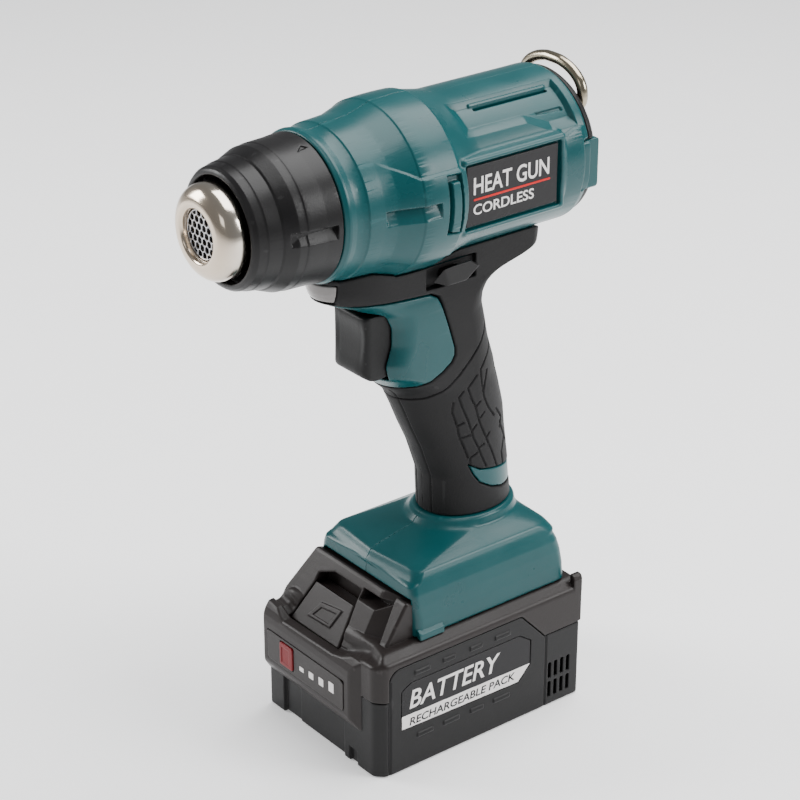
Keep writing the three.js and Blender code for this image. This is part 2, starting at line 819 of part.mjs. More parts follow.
function packLower() {
  const outer = prismZ(packPlan(0), 0, 60).intersect(prismY(lowerSide(0), -40, 40));
  const hollow = prismZ(packPlan(2.2), 2.2, 70);
  let shell = outer.subtract(hollow).add(packPillars(1, PACK_SEAM_Z).subtract(prismZ(packPlan(-9), 40, 60)));
  for (let i = 0; i < 4; i++) {
    const x = -38 - i * 3.45;
    for (const z of [[4, 11.6], [13.4, 21]]) {
      shell = shell.subtract(block([x - 0.8, x + 0.8], [-40, 40], z));
    }
  }
  shell = shell.subtract(prismY(scaledOutline(LABEL, GAP), 37.1, 45));
  shell = shell.subtract(prismY(scaledOutline(LABEL, GAP), -45, -37.1));
  shell = shell.subtract(buttonSpace());
  return shell.subtract(packScrewSpace());
}

const LATCH_Y = [-23.2, 3.4];
const FRONT_FLOOR_X = 30.5; // ahead of here the upper housing is floored below the latch
const FRONT_FLOOR_Z = 41.2;

// raised front that carries the gauge: it stops short of the left corner
function fascia() {
  const face = PACK_LENGTH / 2 + GAP;
  const plan = [
    [face, -37.6], [FASCIA_X - 0.8, -37.6], [FASCIA_X, -36.8], [FASCIA_X, 21.4], [face, 26.4],
  ];
  const profile = [
    [face, 18.6], [FASCIA_X - 0.6, 22.4], [FASCIA_X, 24], [FASCIA_X, 43], [FASCIA_X - 1.4, 45.4], [face, 45.4],
  ];
  return prismZ(plan, 10, 50).intersect(prismY(profile, -40, 40)).add(block([51, 55], [-34, 24], [36, 44]));
}

function packUpper() {
  const edge = PACK_WIDTH / 2;
  const crossSection = [
    [-edge, 30], [edge, 30], [edge, PACK_EDGE_Z], [33, PACK_LEDGE_Z], [NECK_HALF, PACK_LEDGE_Z],
    [-NECK_HALF, PACK_LEDGE_Z], [-33, PACK_LEDGE_Z], [-edge, PACK_EDGE_Z],
  ];
  const top = prismZ(packPlan(0), 30, 60).intersect(prismX(crossSection, -60, 60));
  const tower = block([TOWER_REAR_X, RAMP_X - 1], [-NECK_HALF, NECK_HALF], [54, 61]).add(
    block([TOWER_REAR_X, RAMP_X - 1], [-HEAD_HALF, HEAD_HALF], [HEAD_Z, 70]),
  );
  const basin = prismY([[44, 70], [49.6, 46.6], [52, 45.6], [60, 45.6], [60, 70]], -50, 50);
  const ramp = prismY(
    [[RAMP_X, 50], [RAMP_X, TOWER_TOP_Z], [33.6, TOWER_TOP_Z], [49.5, 47.5], [49.5, 40], [RAMP_X, 40]],
    -30,
    30,
  ).add(block([28, RAMP_X + 1], [-NECK_HALF, NECK_HALF], [56, 69]));
  const ears = [1, -1].map((side) => prismX(
    [[34.8 * side, 50], [edge * side, 50], [edge * side, 57], [37 * side, 58.6], [34.8 * side, 58.6]],
    PACK_UPPER_REAR_X,
    -51,
  )).reduce((a, b) => a.add(b));
  const rearBand = block([PACK_UPPER_REAR_X, -53], [-edge, edge], [PACK_SEAM_Z + GAP, PACK_EDGE_Z]);
  const thickFront = block([FRONT_FLOOR_X, 80], [-60, 60], [FRONT_FLOOR_Z, 60]);
  const inside = prismZ(packPlan(2.2), 20, 50).subtract(thickFront).add(
    block([TOWER_REAR_X + 2, 28], [-NECK_HALF + 2, NECK_HALF - 2], [49, 67.5]),
  );
  const latchRecess = prismY([[32.8, 46], [32.8, 80], [60, 80], [60, 47.6], [51.5, 42.4], [42, 42.4]], ...LATCH_Y);
  const pocket = prismY([[34, 66], [60, 66], [60, 50], [44, 50]], 13.4, 23);
  return top
    .subtract(basin)
    .add(ramp)
    .subtract(inside)
    .add(packPillars(PACK_SEAM_Z + GAP, 44.5).intersect(prismZ(packPlan(0.5), 30, 60)))
    .subtract(prismY(lowerSide(GAP), -60, 60))
    .add(tower.subtract(inside))
    .add(ears)
    .add(rearBand)
    .add(fascia())
    .subtract(latchRecess)
    .subtract(pocket)
    .subtract(terminalBay())
    .subtract(buttonSpace())
    .subtract(block([FASCIA_X - 0.8, 70], widened(PANEL_Y, GAP), widened(PANEL_Z, GAP)))
    .subtract(packScrewSpace());
}

const BAY_X = [TOWER_REAR_X, -24];

// the bay is open to the rear and above, where the tool's blades come in
function terminalBay() {
  return block([BAY_X[0] - 1, BAY_X[1]], [-20, 20], [61.5, 80]);
}

function packTerminals() {
  let terminals = block([BAY_X[0] + 0.6, BAY_X[1] - GAP], [-19.7, 19.7], [61.8, 72]);
  for (const y of BLADE_YS) {
    terminals = terminals.subtract(block([BAY_X[0] - 5, -26], [y - 1, y + 1], [63.4, 80]));
  }
  return terminals;
}

add('pack_lower_housing', packLower(), BLACK_PLASTIC);
add('pack_upper_housing', packUpper(), GREY_PLASTIC);
add('pack_terminals', packTerminals(), BLACK_PLASTIC);

for (const [word, side] of SIDES) {
  const span = side > 0 ? [37.4, 37.9] : [-37.9, -37.4];
  add(`${word}_pack_label`, prismY(LABEL, ...span), BADGE);
  const holder = side > 0 ? [32.8, 34.4] : [-34.4, -32.8];
  add(`${word}_cell_holder`, block([-46.6, 46.6], holder, [3, 41]), BLACK_PLASTIC);
}

PACK_SCREWS.forEach(([x, y], i) => {
  add(`pack_screw_${i + 1}`, rodZ(x, y, 2.2, 0.8, 2.9).add(rodZ(x, y, 1.2, 2.5, 41)), STEEL);
});

for (let row = 0; row < CELL_ROWS_Z.length; row++) {
  for (let column = 0; column < 5; column++) {
    const x = (column - 2) * CELL_PITCH;
    const cell = rodY(x, CELL_ROWS_Z[row], CELL_RADIUS, -CELL_LENGTH / 2, CELL_LENGTH / 2, 12);
    add(`cell_${row * 5 + column + 1}`, cell, CELL_WRAP);
  }
}

add('cell_board', block([-44, FRONT_FLOOR_X - 1], [-30, 30], [41.4, 42.6]), BOARD);

// ---------------------------------------------------------------- latch and gauge

const LATCH_PAD = [[38, 60.6], [40.2, 61.8], [50.6, 46.4], [50, 45.4], [47.6, 45.2]];

function latchButton() {
  const [near, far] = [LATCH_Y[0] + 0.5, LATCH_Y[1] - 0.5];
  const post = block([33.2, 39], [near, far], [50.6, 60.4]);
  return prismY(LATCH_PAD, near, far).add(post);
}

add('latch_button', latchButton(), GREY_PLASTIC);

add('gauge_panel', block([FASCIA_X - 0.5, FASCIA_X + 0.1], PANEL_Y, PANEL_Z).subtract(buttonSpace()), BADGE);
add('gauge_button', block([53, FASCIA_X + 0.7], BUTTON_Y, BUTTON_Z), RED);

export default part;
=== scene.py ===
import math
from concurrent.futures import ThreadPoolExecutor
from itertools import product

import bpy
import numpy as np
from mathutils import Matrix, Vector


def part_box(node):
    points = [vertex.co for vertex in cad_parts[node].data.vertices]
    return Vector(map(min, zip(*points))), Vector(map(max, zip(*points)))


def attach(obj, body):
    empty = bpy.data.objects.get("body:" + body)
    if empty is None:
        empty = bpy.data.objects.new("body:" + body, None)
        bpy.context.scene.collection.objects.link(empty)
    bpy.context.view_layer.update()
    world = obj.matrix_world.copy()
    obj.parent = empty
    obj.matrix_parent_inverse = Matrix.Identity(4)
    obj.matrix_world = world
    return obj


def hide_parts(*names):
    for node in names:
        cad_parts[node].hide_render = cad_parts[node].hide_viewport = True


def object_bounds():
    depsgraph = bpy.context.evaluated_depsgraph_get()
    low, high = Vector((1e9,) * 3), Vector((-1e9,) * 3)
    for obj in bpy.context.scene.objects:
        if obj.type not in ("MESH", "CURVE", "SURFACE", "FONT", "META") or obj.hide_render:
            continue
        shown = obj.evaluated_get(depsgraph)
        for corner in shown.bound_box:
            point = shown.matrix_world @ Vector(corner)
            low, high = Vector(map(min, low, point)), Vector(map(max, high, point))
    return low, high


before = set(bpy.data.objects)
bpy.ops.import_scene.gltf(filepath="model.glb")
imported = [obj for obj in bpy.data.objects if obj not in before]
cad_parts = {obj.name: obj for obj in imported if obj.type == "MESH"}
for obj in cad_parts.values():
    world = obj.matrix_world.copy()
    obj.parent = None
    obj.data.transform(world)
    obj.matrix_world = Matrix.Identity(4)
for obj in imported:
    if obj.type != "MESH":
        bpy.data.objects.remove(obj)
cad_low, cad_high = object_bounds()

# Lengths below are in millimetres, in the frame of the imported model. Meshes are made in metres.
MM = 0.001


def span(node):
    low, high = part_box(node)
    return np.array(low) / MM, np.array(high) / MM


AXIS_Z = float(sum(span("nozzle")[i][2] for i in (0, 1)) / 2)
PACK_X, PACK_Y = (float(v) for v in span("pack_lower_housing")[1][:2])
REAR_X = float(span("left_housing")[0][0])
FACE_X = float(span("gauge_panel")[1][0])
PLATE_LOW, PLATE_HIGH = span("left_name_plate")
SPLIT = 0.04  # each half stays this far from the middle plane
GAP = 0.35  # between the two halves of the pack
SKIN = 2.2  # thickness of the soft grip
SKIN_SPACE = 2.6  # how far the housing lies below the outside of the grip
HANDLE_WALL = 5.0  # grip and housing together
BORE_RADIUS = 26.6
WIRE_RADIUS = 2.2  # of the hanging ring


# ---------------------------------------------------------------- distance fields

def smin(a, b, k):
    """The union of two distances, blended over a width k."""
    h = np.maximum(k - np.abs(a - b), 0)
    return np.minimum(a, b) - h * h * (0.25 / k)


def smax(a, b, k):
    """Their overlap, blended over a width k."""
    return -smin(-a, -b, k)


def cut(a, b, k):
    """Shape a with shape b taken away, and an edge of width k."""
    return smax(a, -b, k)


def rounded(a, b, r):
    """Two distances, across and along, joined as an edge of radius r."""
    a, b = a + r, b + r
    out = np.sqrt(np.maximum(a, 0) ** 2 + np.maximum(b, 0) ** 2)
    return out + np.minimum(np.maximum(a, b), 0) - r


def between(v, low, high):
    return np.abs(v - (low + high) / 2) - (high - low) / 2


def box(x, y, z, xs, ys, zs, r=0.6):
    return rounded(rounded(between(x, *xs), between(y, *ys), r), between(z, *zs), r)


def to_segment(u, v, start, end):
    """Squared distance to the straight segment from start to end."""
    eu, ev = end[0] - start[0], end[1] - start[1]
    wu, wv = u - start[0], v - start[1]
    t = np.clip((wu * eu + wv * ev) / (eu * eu + ev * ev), 0, 1)
    return (wu - eu * t) ** 2 + (wv - ev * t) ** 2


def polygon(u, v, points):
    """Signed distance to a closed outline."""
    nearest = np.full(u.shape, 1e9, np.float32)
    inside = np.zeros(u.shape, bool)
    for start, end in zip(points, points[1:] + points[:1]):
        nearest = np.minimum(nearest, to_segment(u, v, start, end))
        if start[1] != end[1]:
            crossing = (end[0] - start[0]) * (v - start[1]) / (end[1] - start[1])
            inside ^= ((start[1] > v) != (end[1] > v)) & (u - start[0] < crossing)
    return np.sqrt(nearest) * np.where(inside, -1, 1)


def line(u, v, points):
    """Distance to an open line through the points."""
    nearest = np.full(u.shape, 1e9, np.float32)
    for start, end in zip(points, points[1:]):
        nearest = np.minimum(nearest, to_segment(u, v, start, end))
    return np.sqrt(nearest)


def ramp(v):
    return np.clip(v, 0, 1)


def rods(x, z, places, radius):
    return np.min([np.hypot(x - a, z - b) for a, b in places], axis=0) - radius


# ---------------------------------------------------------------- meshing a field

BLOCK = 8  # cells along each side of a block
CHUNK = 60000  # points worked out at once by one thread
STEEPEST = 1.15  # no field's value changes faster than this with distance
THREADS = 4
DRAWS = 2  # times each point is drawn onto the surface
NORMAL_REACH = 0.2
SAME_WAY = 0.72  # cosine below which a corner takes its face's normal


def evaluate(field, x, y, z):
    out = np.empty(x.size, np.float32)

    def run(start):
        part = slice(start, start + CHUNK)
        out[part] = field(x[part], y[part], z[part])

    with ThreadPoolExecutor(THREADS) as pool:
        list(pool.map(run, range(0, x.size, CHUNK)))
    return out


def sampled(field, low, high, step):
    """The field on a grid, worked out only in blocks that the surface can reach."""
    low = (np.floor(np.array(low) / step) - 1.5) * step
    count = np.ceil((np.array(high) + 2 * step - low) / (step * BLOCK)).astype(int)
    index = np.indices(count).reshape(3, -1)
    centre = [low[i] + ((index[i] + 0.5) * BLOCK - 0.5) * step for i in range(3)]
    middle = evaluate(field, *[c.astype(np.float32) for c in centre])
    values = np.empty(count * BLOCK, np.float32)
    blocks = values.reshape(count[0], BLOCK, count[1], BLOCK, count[2], BLOCK)
    blocks[:] = np.where(middle < 0, -9, 9).reshape(count[0], 1, count[1], 1, count[2], 1)
    near = index[:, np.abs(middle) < STEEPEST * step * (BLOCK * 0.866 + 1)]
    local = np.indices((BLOCK,) * 3).reshape(3, 1, -1)
    points = [
        (low[i] + (near[i][:, None] * BLOCK + local[i]) * step).astype(np.float32).ravel()
        for i in range(3)
    ]
    worked = evaluate(field, *points).reshape(-1, BLOCK, BLOCK, BLOCK)
    blocks[near[0], :, near[1], :, near[2], :] = worked
    return values, low


def surface(field, low, high, step):
    """Surface nets over the grid, each point then drawn onto the field's surface."""
    values, low = sampled(field, low, high, step)
    solid = values < 0
    size = np.array(values.shape) - 1
    corners = list(product((0, 1), repeat=3))
    windows = [tuple(slice(o[i], o[i] + size[i]) for i in range(3)) for o in corners]
    total = np.zeros(size, np.uint8)
    for window in windows:
        total += solid[window]
    cells = np.argwhere((total > 0) & (total < 8))
    number = np.full(size, -1, np.int32)
    number[tuple(cells.T)] = np.arange(len(cells))
    at = np.stack([values[window][tuple(cells.T)] for window in windows], 1)
    place = np.zeros((len(cells), 3), np.float32)
    crossings = np.zeros(len(cells), np.float32)
    for i, a in enumerate(corners):
        for j, b in enumerate(corners):
            if j > i and sum(abs(p - q) for p, q in zip(a, b)) == 1:
                va, vb = at[:, i], at[:, j]
                hit = (va < 0) != (vb < 0)
                t = np.where(hit, va / np.where(hit, va - vb, 1), 0)[:, None]
                point = np.array(a) + t * (np.array(b) - np.array(a))
                place += np.where(hit[:, None], point, 0)
                crossings += hit
    place /= crossings[:, None]
    signs = np.array(corners, np.float32) * 2 - 1
    slope = at @ signs / (4 * step)
    points = (low + (cells + place) * step).astype(np.float32)
    for _ in range(DRAWS):
        value = evaluate(field, *points.T)
        move = slope * (value / np.maximum((slope**2).sum(1), 0.02))[:, None]
        points -= np.clip(move, -0.45 * step, 0.45 * step)
    quads = []
    for axis in range(3):
        u, v = (axis + 1) % 3, (axis + 2) % 3
        lower = [slice(1, -1)] * 3
        upper = [slice(1, -1)] * 3
        lower[axis], upper[axis] = slice(0, -1), slice(1, None)
        inside = solid[tuple(lower)]
        edge = np.argwhere(inside != solid[tuple(upper)])
        facing = inside[tuple(edge.T)]
        edge[:, u] += 1
        edge[:, v] += 1
        ring = []
        for du, dv in ((-1, -1), (0, -1), (0, 0), (-1, 0)):
            cell = edge.copy()
            cell[:, u] += du
            cell[:, v] += dv
            ring.append(number[tuple(cell.T)])
        quad = np.stack(ring, 1)
        quads.append(np.where(facing[:, None], quad, quad[:, ::-1]))
    return points, np.concatenate(quads)


def as_object(name, points, faces):
    """A mesh object from points in millimetres and faces of one length."""
    mesh = bpy.data.meshes.new(name)
    sides = faces.shape[1]
    mesh.vertices.add(len(points))
    mesh.vertices.foreach_set("co", (np.asarray(points) * MM).astype(np.float32).ravel())
    mesh.loops.add(faces.size)
    mesh.loops.foreach_set("vertex_index", faces.astype(np.int32).ravel())
    mesh.polygons.add(len(faces))
    mesh.polygons.foreach_set("loop_start", np.arange(len(faces), dtype=np.int32) * sides)
    mesh.update(calc_edges=True)
    mesh.validate()
    mesh.shade_smooth()
    obj = bpy.data.objects.new(name, mesh)
    bpy.context.scene.collection.objects.link(obj)
    return obj


def baked(obj):
    """Applies obj's modifiers to its mesh."""
    view = bpy.context.evaluated_depsgraph_get()
    mesh = bpy.data.meshes.new_from_object(obj.evaluated_get(view))
    obj.modifiers.clear()
    obj.data = mesh
    return obj


def finished(obj, body, material, stands_for=(), crease=48):
    """Gives a piece its finish and says which body and CAD nodes are its own."""
    obj.data.materials.clear()
    obj.data.materials.append(material)
    if not obj.data.has_custom_normals:
        obj.data.shade_smooth()
        obj.data.set_sharp_from_angle(angle=math.radians(crease))
    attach(obj, body)
    if stands_for:
        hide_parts(*([stands_for] if isinstance(stands_for, str) else stands_for))
    return obj


def carved(name, field, low, high, step, most):
    """A mesh of the field, thinned to about so many triangles."""
    points, quads = surface(field, low, high, step * (1))
    obj = as_object(name, points, quads)
    if len(quads) * 2 > most:
        thin = obj.modifiers.new("thin", "DECIMATE")
        thin.ratio = most / (len(quads) * 2)
        baked(obj)
    shaded_by(obj.data, field)
    return obj


def shaded_by(mesh, field):
    """Corner normals from the field's own slope, or the face's where a face turns away from it."""
    flat = np.empty(len(mesh.vertices) * 3, np.float32)
    mesh.vertices.foreach_get("co", flat)
    x, y, z = (flat.reshape(-1, 3).T / MM).astype(np.float32)
    reach = np.float32(NORMAL_REACH)
    slope = np.stack([
        evaluate(field, x + reach, y, z) - evaluate(field, x - reach, y, z),
        evaluate(field, x, y + reach, z) - evaluate(field, x, y - reach, z),
        evaluate(field, x, y, z + reach) - evaluate(field, x, y, z - reach),
    ], 1)
    slope /= np.maximum(np.linalg.norm(slope, axis=1, keepdims=True), 1e-9)
    corner = np.empty(len(mesh.loops), np.int32)
    mesh.loops.foreach_get("vertex_index", corner)
    sides = np.empty(len(mesh.polygons), np.int32)
    mesh.polygons.foreach_get("loop_total", sides)
    faces = np.empty(len(mesh.polygons) * 3, np.float32)
    mesh.polygons.foreach_get("normal", faces)
    faces = np.repeat(faces.reshape(-1, 3), sides, axis=0)
    normals = slope[corner]
    turned = (normals * faces).sum(1) < SAME_WAY
    normals[turned] = faces[turned]
    mesh.normals_split_custom_set(normals)


# ---------------------------------------------------------------- surfaces made along a line

def lathe(name, profile, turns):
    """A closed ring body about the barrel's axis from a closed outline of (x, radius)."""
    angle = np.linspace(0, 2 * math.pi, turns, endpoint=False)
    x, r = np.array(profile, float).T
    ys = r[None] * np.cos(angle)[:, None]
    zs = AXIS_Z + r[None] * np.sin(angle)[:, None]
    points = np.stack([np.broadcast_to(x, ys.shape), ys, zs], -1).reshape(-1, 3)
    n = len(profile)
    i, j = np.meshgrid(np.arange(turns), np.arange(n), indexing="ij")
    i2, j2 = (i + 1) % turns, (j + 1) % n
    faces = np.stack([i * n + j, i * n + j2, i2 * n + j2, i2 * n + j], -1).reshape(-1, 4)
    area = np.sum(x * np.roll(r, -1) - np.roll(x, -1) * r)
    return as_object(name, points, faces if area < 0 else faces[:, ::-1])


def eased(points, count):
    """A smooth line through the points."""
    p = np.array(points, float)
    p = np.vstack([2 * p[0] - p[1], p, 2 * p[-1] - p[-2]])
    out = []
    for i in range(1, len(p) - 2):
        t = np.linspace(0, 1, count, endpoint=False)[:, None]
        a, b, c, d = p[i - 1 : i + 3]
        out.append(
            0.5 * (2 * b + (c - a) * t + (2 * a - 5 * b + 4 * c - d) * t**2
                   + (3 * b - a - 3 * c + d) * t**3)
        )
    return np.vstack(out + [p[-2:-1]])


def tube(name, path, radius, sides):
    """A closed round bar along a line of points."""
    path = np.asarray(path, float)
    along = np.gradient(path, axis=0)
    along /= np.linalg.norm(along, axis=1)[:, None]
    side = np.cross(along, (1.0, 0, 0))
    side /= np.linalg.norm(side, axis=1)[:, None]
    other = np.cross(along, side)
    angle = np.linspace(0, 2 * math.pi, sides, endpoint=False)
    ring = side[:, None] * np.cos(angle)[None, :, None] + other[:, None] * np.sin(angle)[None, :, None]
    points = (path[:, None] + radius * ring).reshape(-1, 3)
    rings = len(path)
    i, j = np.meshgrid(np.arange(rings - 1), np.arange(sides), indexing="ij")
    j2 = (j + 1) % sides
    here, ahead = i * sides, (i + 1) * sides
    faces = np.stack([here + j, here + j2, ahead + j2, ahead + j], -1).reshape(-1, 4)
    last = (rings - 1) * sides
    tips = len(points)
    points = np.vstack([points, path[:1], path[-1:]])
    j = np.arange(sides)
    ends = np.concatenate([
        np.stack([np.full(sides, tips), (j + 1) % sides, j], 1),
        np.stack([np.full(sides, tips + 1), last + j, last + (j + 1) % sides], 1),
    ])
    mesh = bpy.data.meshes.new(name)
    mesh.from_pydata((points * MM).tolist(), [], faces.tolist() + ends.tolist())
    mesh.shade_smooth()
    obj = bpy.data.objects.new(name, mesh)
    bpy.context.scene.collection.objects.link(obj)
    return obj


# ---------------------------------------------------------------- rounded stacks: handle and foot

SECTION_STEP = 0.2


def stack(sections, spread):
    """A table of sections smoothed over height, each (z, rear x, front x, half width, rear round,
    front round) with the side's round last if it isn't the half width."""
    heights = np.arange(sections[0][0] - 6, sections[-1][0] + 6, SECTION_STEP)
    columns = np.array([s if len(s) == 7 else (*s, s[3]) for s in sections]).T
    width = int(4 * spread / SECTION_STEP)
    kernel = np.exp(-0.5 * (np.arange(-width, width + 1) * SECTION_STEP / spread) ** 2)
    kernel /= kernel.sum()
    smooth = []
    for column in columns[1:]:
        raw = np.interp(heights, columns[0], column)
        smooth.append(np.convolve(np.pad(raw, width, mode="edge"), kernel, "valid"))
    return heights, smooth


def loft(table, x, y, z):
    """Distance to a stack of sections with elliptical corners."""
    rear, front, half, rear_round, front_round, side = (np.interp(z, table[0], c) for c in table[1])
    ahead = x > (rear + front) / 2
    a = np.where(ahead, front_round, rear_round)
    u = np.where(ahead, x - front, rear - x) + a
    v = np.abs(y) - half + side
    pu, pv = np.maximum(u, 0), np.maximum(v, 0)
    q = np.sqrt((pu / a) ** 2 + (pv / side) ** 2)
    g = np.sqrt((pu / a**2) ** 2 + (pv / side**2) ** 2) + 1e-6
    return np.where((u > 0) & (v > 0), q * (q - 1) / g, np.maximum(u - a, v - side))


HANDLE = stack([
    (90, -41.9, 1.2, 17, 21.5, 21.5), (110, -39.8, 2, 17, 20.9, 20.9), (125, -37.9, 7.3, 17, 22, 22),
    (135, -37, 12.2, 17, 23, 24), (145, -34.4, 16.5, 17.3, 22, 26), (153, -31.8, 20.4, 17.3, 20, 26),
    (159, -30.2, 27, 17.3, 18, 22), (164, -28.2, 32, 17.3, 16, 14), (170, -26.2, 33, 17.3, 15, 12),
    (178, -24.4, 30.2, 17.3, 14, 12), (186, -22.6, 30.4, 17.3, 14, 13), (191.5, -22.6, 34, 17.2, 12, 16),
    (195.8, -24.8, 43, 17, 11, 21), (199, -29, 51.5, 16.8, 10, 25), (201.2, -34.8, 55, 16.8, 9, 26),
    (202.8, -43, 56.4, 16.8, 9, 27), (205, -49.4, 57.3, 16.8, 9, 27), (210, -50.2, 57.5, 16.8, 9, 27),
    (224, -50.6, 57.5, 16.8, 9, 27),
], 0.9)
FOOT = stack([
    (56.2, -50.5, 30.8, 33, 4, 4, 4), (64, -50.3, 31, 32.7, 4.5, 4, 4.5), (70, -49.4, 31.3, 32.1, 5, 3, 4),
    (75, -48.3, 31.3, 31.2, 5.5, 3, 4), (78.6, -46.8, 31.0, 30.0, 6.5, 3, 4),
    (81, -45.6, 28.8, 29.0, 7.5, 3, 4.5),
    (83.4, -44.4, 27.3, 27.7, 9, 3.5, 6), (84.5, -43.8, 24.6, 25.6, 10, 6, 9),
    (86.2, -43, 15.5, 22.2, 15, 12, 14), (88, -42.6, 6, 19.4, 19, 18, 18),
    (92, -42.1, 1.8, 17.5, 21.8, 21.8, 17.5),
], 0.4)


def handle(x, y, z):
    steep = np.interp(z, [160, 186, 196, 205, 210], [0.9, 0.8, 0.3, 0.3, 1])
    return smax(loft(HANDLE, x, y, z) * steep, between(z, 91, 222), 0.3)


def foot(x, y, z):
    keel = x + np.interp(z, [78, 79.5], [0, 0.1]) * np.abs(y) - np.interp(z, [78, 79.5], [0, 1.4])
    steep = np.interp(z, [76, 83, 90], [0.9, 0.35, 0.35])
    body = loft(FOOT, keel, y, z) * steep
    body = smax(smax(body, 56.2 - z, 1.2), z - 91, 0.6)
    ring = loft(HANDLE, x, y, np.full_like(z, 92)) - 0.4
    ring = smax(ring, between(z, 80, 91.5), 0.8)
    tab = box(x, np.abs(y), z, (17, 30), (29, 34.4), (55.2, 61), 0.9)
    return np.minimum(smin(body, ring, 3.4), smax(tab, polygon(np.abs(y), z, TAB_SECTION), 0.4))


TAB_SECTION = [(28, 57.5), (31.5, 57.3), (35, 55.2), (35, 58.2), (32.5, 60), (28, 61)]

# Side outlines as (x, z).
TEAL_PANEL = [
    (58, 200), (35.8, 199.2), (10.6, 197.3), (7.2, 195.4), (5.8, 192.6), (2, 181.5), (-0.9, 172),
    (-0.9, 168.8), (0.8, 166), (5.5, 162.9), (11, 160.6), (16, 159.2), (22, 158.4), (40, 158.4), (60, 180),
]
ACCENT = [(-9.8, 116.2), (-15.8, 112.6), (-46, 106.4), (-46, 99), (-28, 100.6), (-21.5, 102.8),
          (-15.6, 106.4), (-12.6, 110.6)]
LONG_SEAM = [(-24, 186), (-20, 178.5), (-15, 171.2), (-9, 164.4), (-3, 159), (4.5, 154), (11, 151.6),
             (19, 150.6), (24, 151.6)]
WEB = [
    [(-23, 168), (-18, 163), (-14.4, 158.6), (-15, 153.5), (-16.6, 145.5), (-19.2, 140.2), (-23.2, 134.9)],
    [(-12.4, 156.5), (-7.8, 152.1), (-9.6, 147.1), (-12, 142.4), (-13.2, 138.4), (-15.2, 132.8),
     (-18.2, 126.2),
     (-21.4, 119.6), (-24.6, 111.6)],
    [(-5.5, 151.3), (-3.2, 149.1), (-5, 144.5), (-8, 138.1), (-10, 132.6)],
    [(-0.8, 147.3), (-0.8, 142.7), (-3.4, 136), (-4.6, 131), (-7.6, 124), (-9.2, 119.8)],
    [(-12.8, 134.1), (-10.4, 131.7), (-11.6, 127.8), (-14.2, 122.9), (-16, 118.2), (-18.4, 113.4)],
    [(-14.4, 144.2), (-12, 142.4)], [(-17, 138.6), (-14.8, 136.5)], [(-6.4, 136.8), (-3.6, 135.9)],
    [(-9.6, 130.2), (-5, 129.6)], [(-13.6, 121), (-10.4, 119.4), (-10.4, 116.6)],
    [(-20, 128.2), (-18.2, 126.2)], [(-17, 124), (-14.2, 122.9)],
    [(-26, 170), (-26.6, 162), (-27.4, 154), (-31, 146)],
    [(-27.5, 130), (-31.5, 122), (-36, 115)], [(-25, 137), (-29, 131.7), (-27.4, 127.6)],
    [(-18.4, 157), (-16.4, 149)], [(-31, 146), (-33.5, 140), (-36, 138)],
    [(-31.5, 122), (-28.5, 116), (-29.5, 109)],
]
SCREW_PLACES = [tuple(float(v) for v in (sum(span(f"housing_screw_{i}")) / 2)[[0, 2]]) for i in range(1, 6)]


# ---------------------------------------------------------------- barrel

# The barrel's radius along x, with its ridge and steps.
BARREL_X = [-58, -4, -1, 4, 10.3, 11, 16, 23, 28.6, 29.3, 39, 45, 51.2, 51.9, 54, 56.6, 59.4, 60.2, 60.8,
            62]
BARREL_R = [32, 32, 32.35, 33.3, 34.6, 35.2, 35.3, 35.2, 34.9, 34.4, 31.5, 31.1, 30.8, 30.3, 29.8, 29.7,
            30.15, 30.1, 29.8, 29.3]
DEGREE = 32 * math.pi / 180


def arc(points):
    """Outline of (x, degrees round the barrel) as lengths on its surface."""
    return [(x, a * DEGREE) for x, a in points]


RECESS = arc([(1.9, 100), (1.3, 39.6), (-29.2, 39.2), (-40.1, 28.6), (-70, 28.7), (-70, 100)])
SMALL_SLOT = arc([(-36.2, 46.3), (-49.8, 46.3), (-50.2, 42.2), (-37.4, 44)])
SIDE_PANEL = arc([(45, 43), (28.9, 22.8), (-41, 22.7), (-49.6, 27.6), (-56, 27.6), (-56, -42), (60, -42),
                  (60, 38)])
SIDE_GROOVE = arc([(44.2, 5.9), (21.5, 4.6), (21.2, -4.8), (44, -5.6)])
BAR_SPACE = arc([(18.2, 20), (10.7, 19.6), (9.9, -20.6), (17.9, -18.6)])
BAR = arc([(16.3, 15.6), (11.9, 15.4), (11.2, -19.6), (16.2, -18)])


PLATE_SPACE = 1.3
RECESS_DEPTH, SLOT_DEPTH, PANEL_RISE, BAR_DEPTH = 2.1, 2.6, 0.95, 2.3


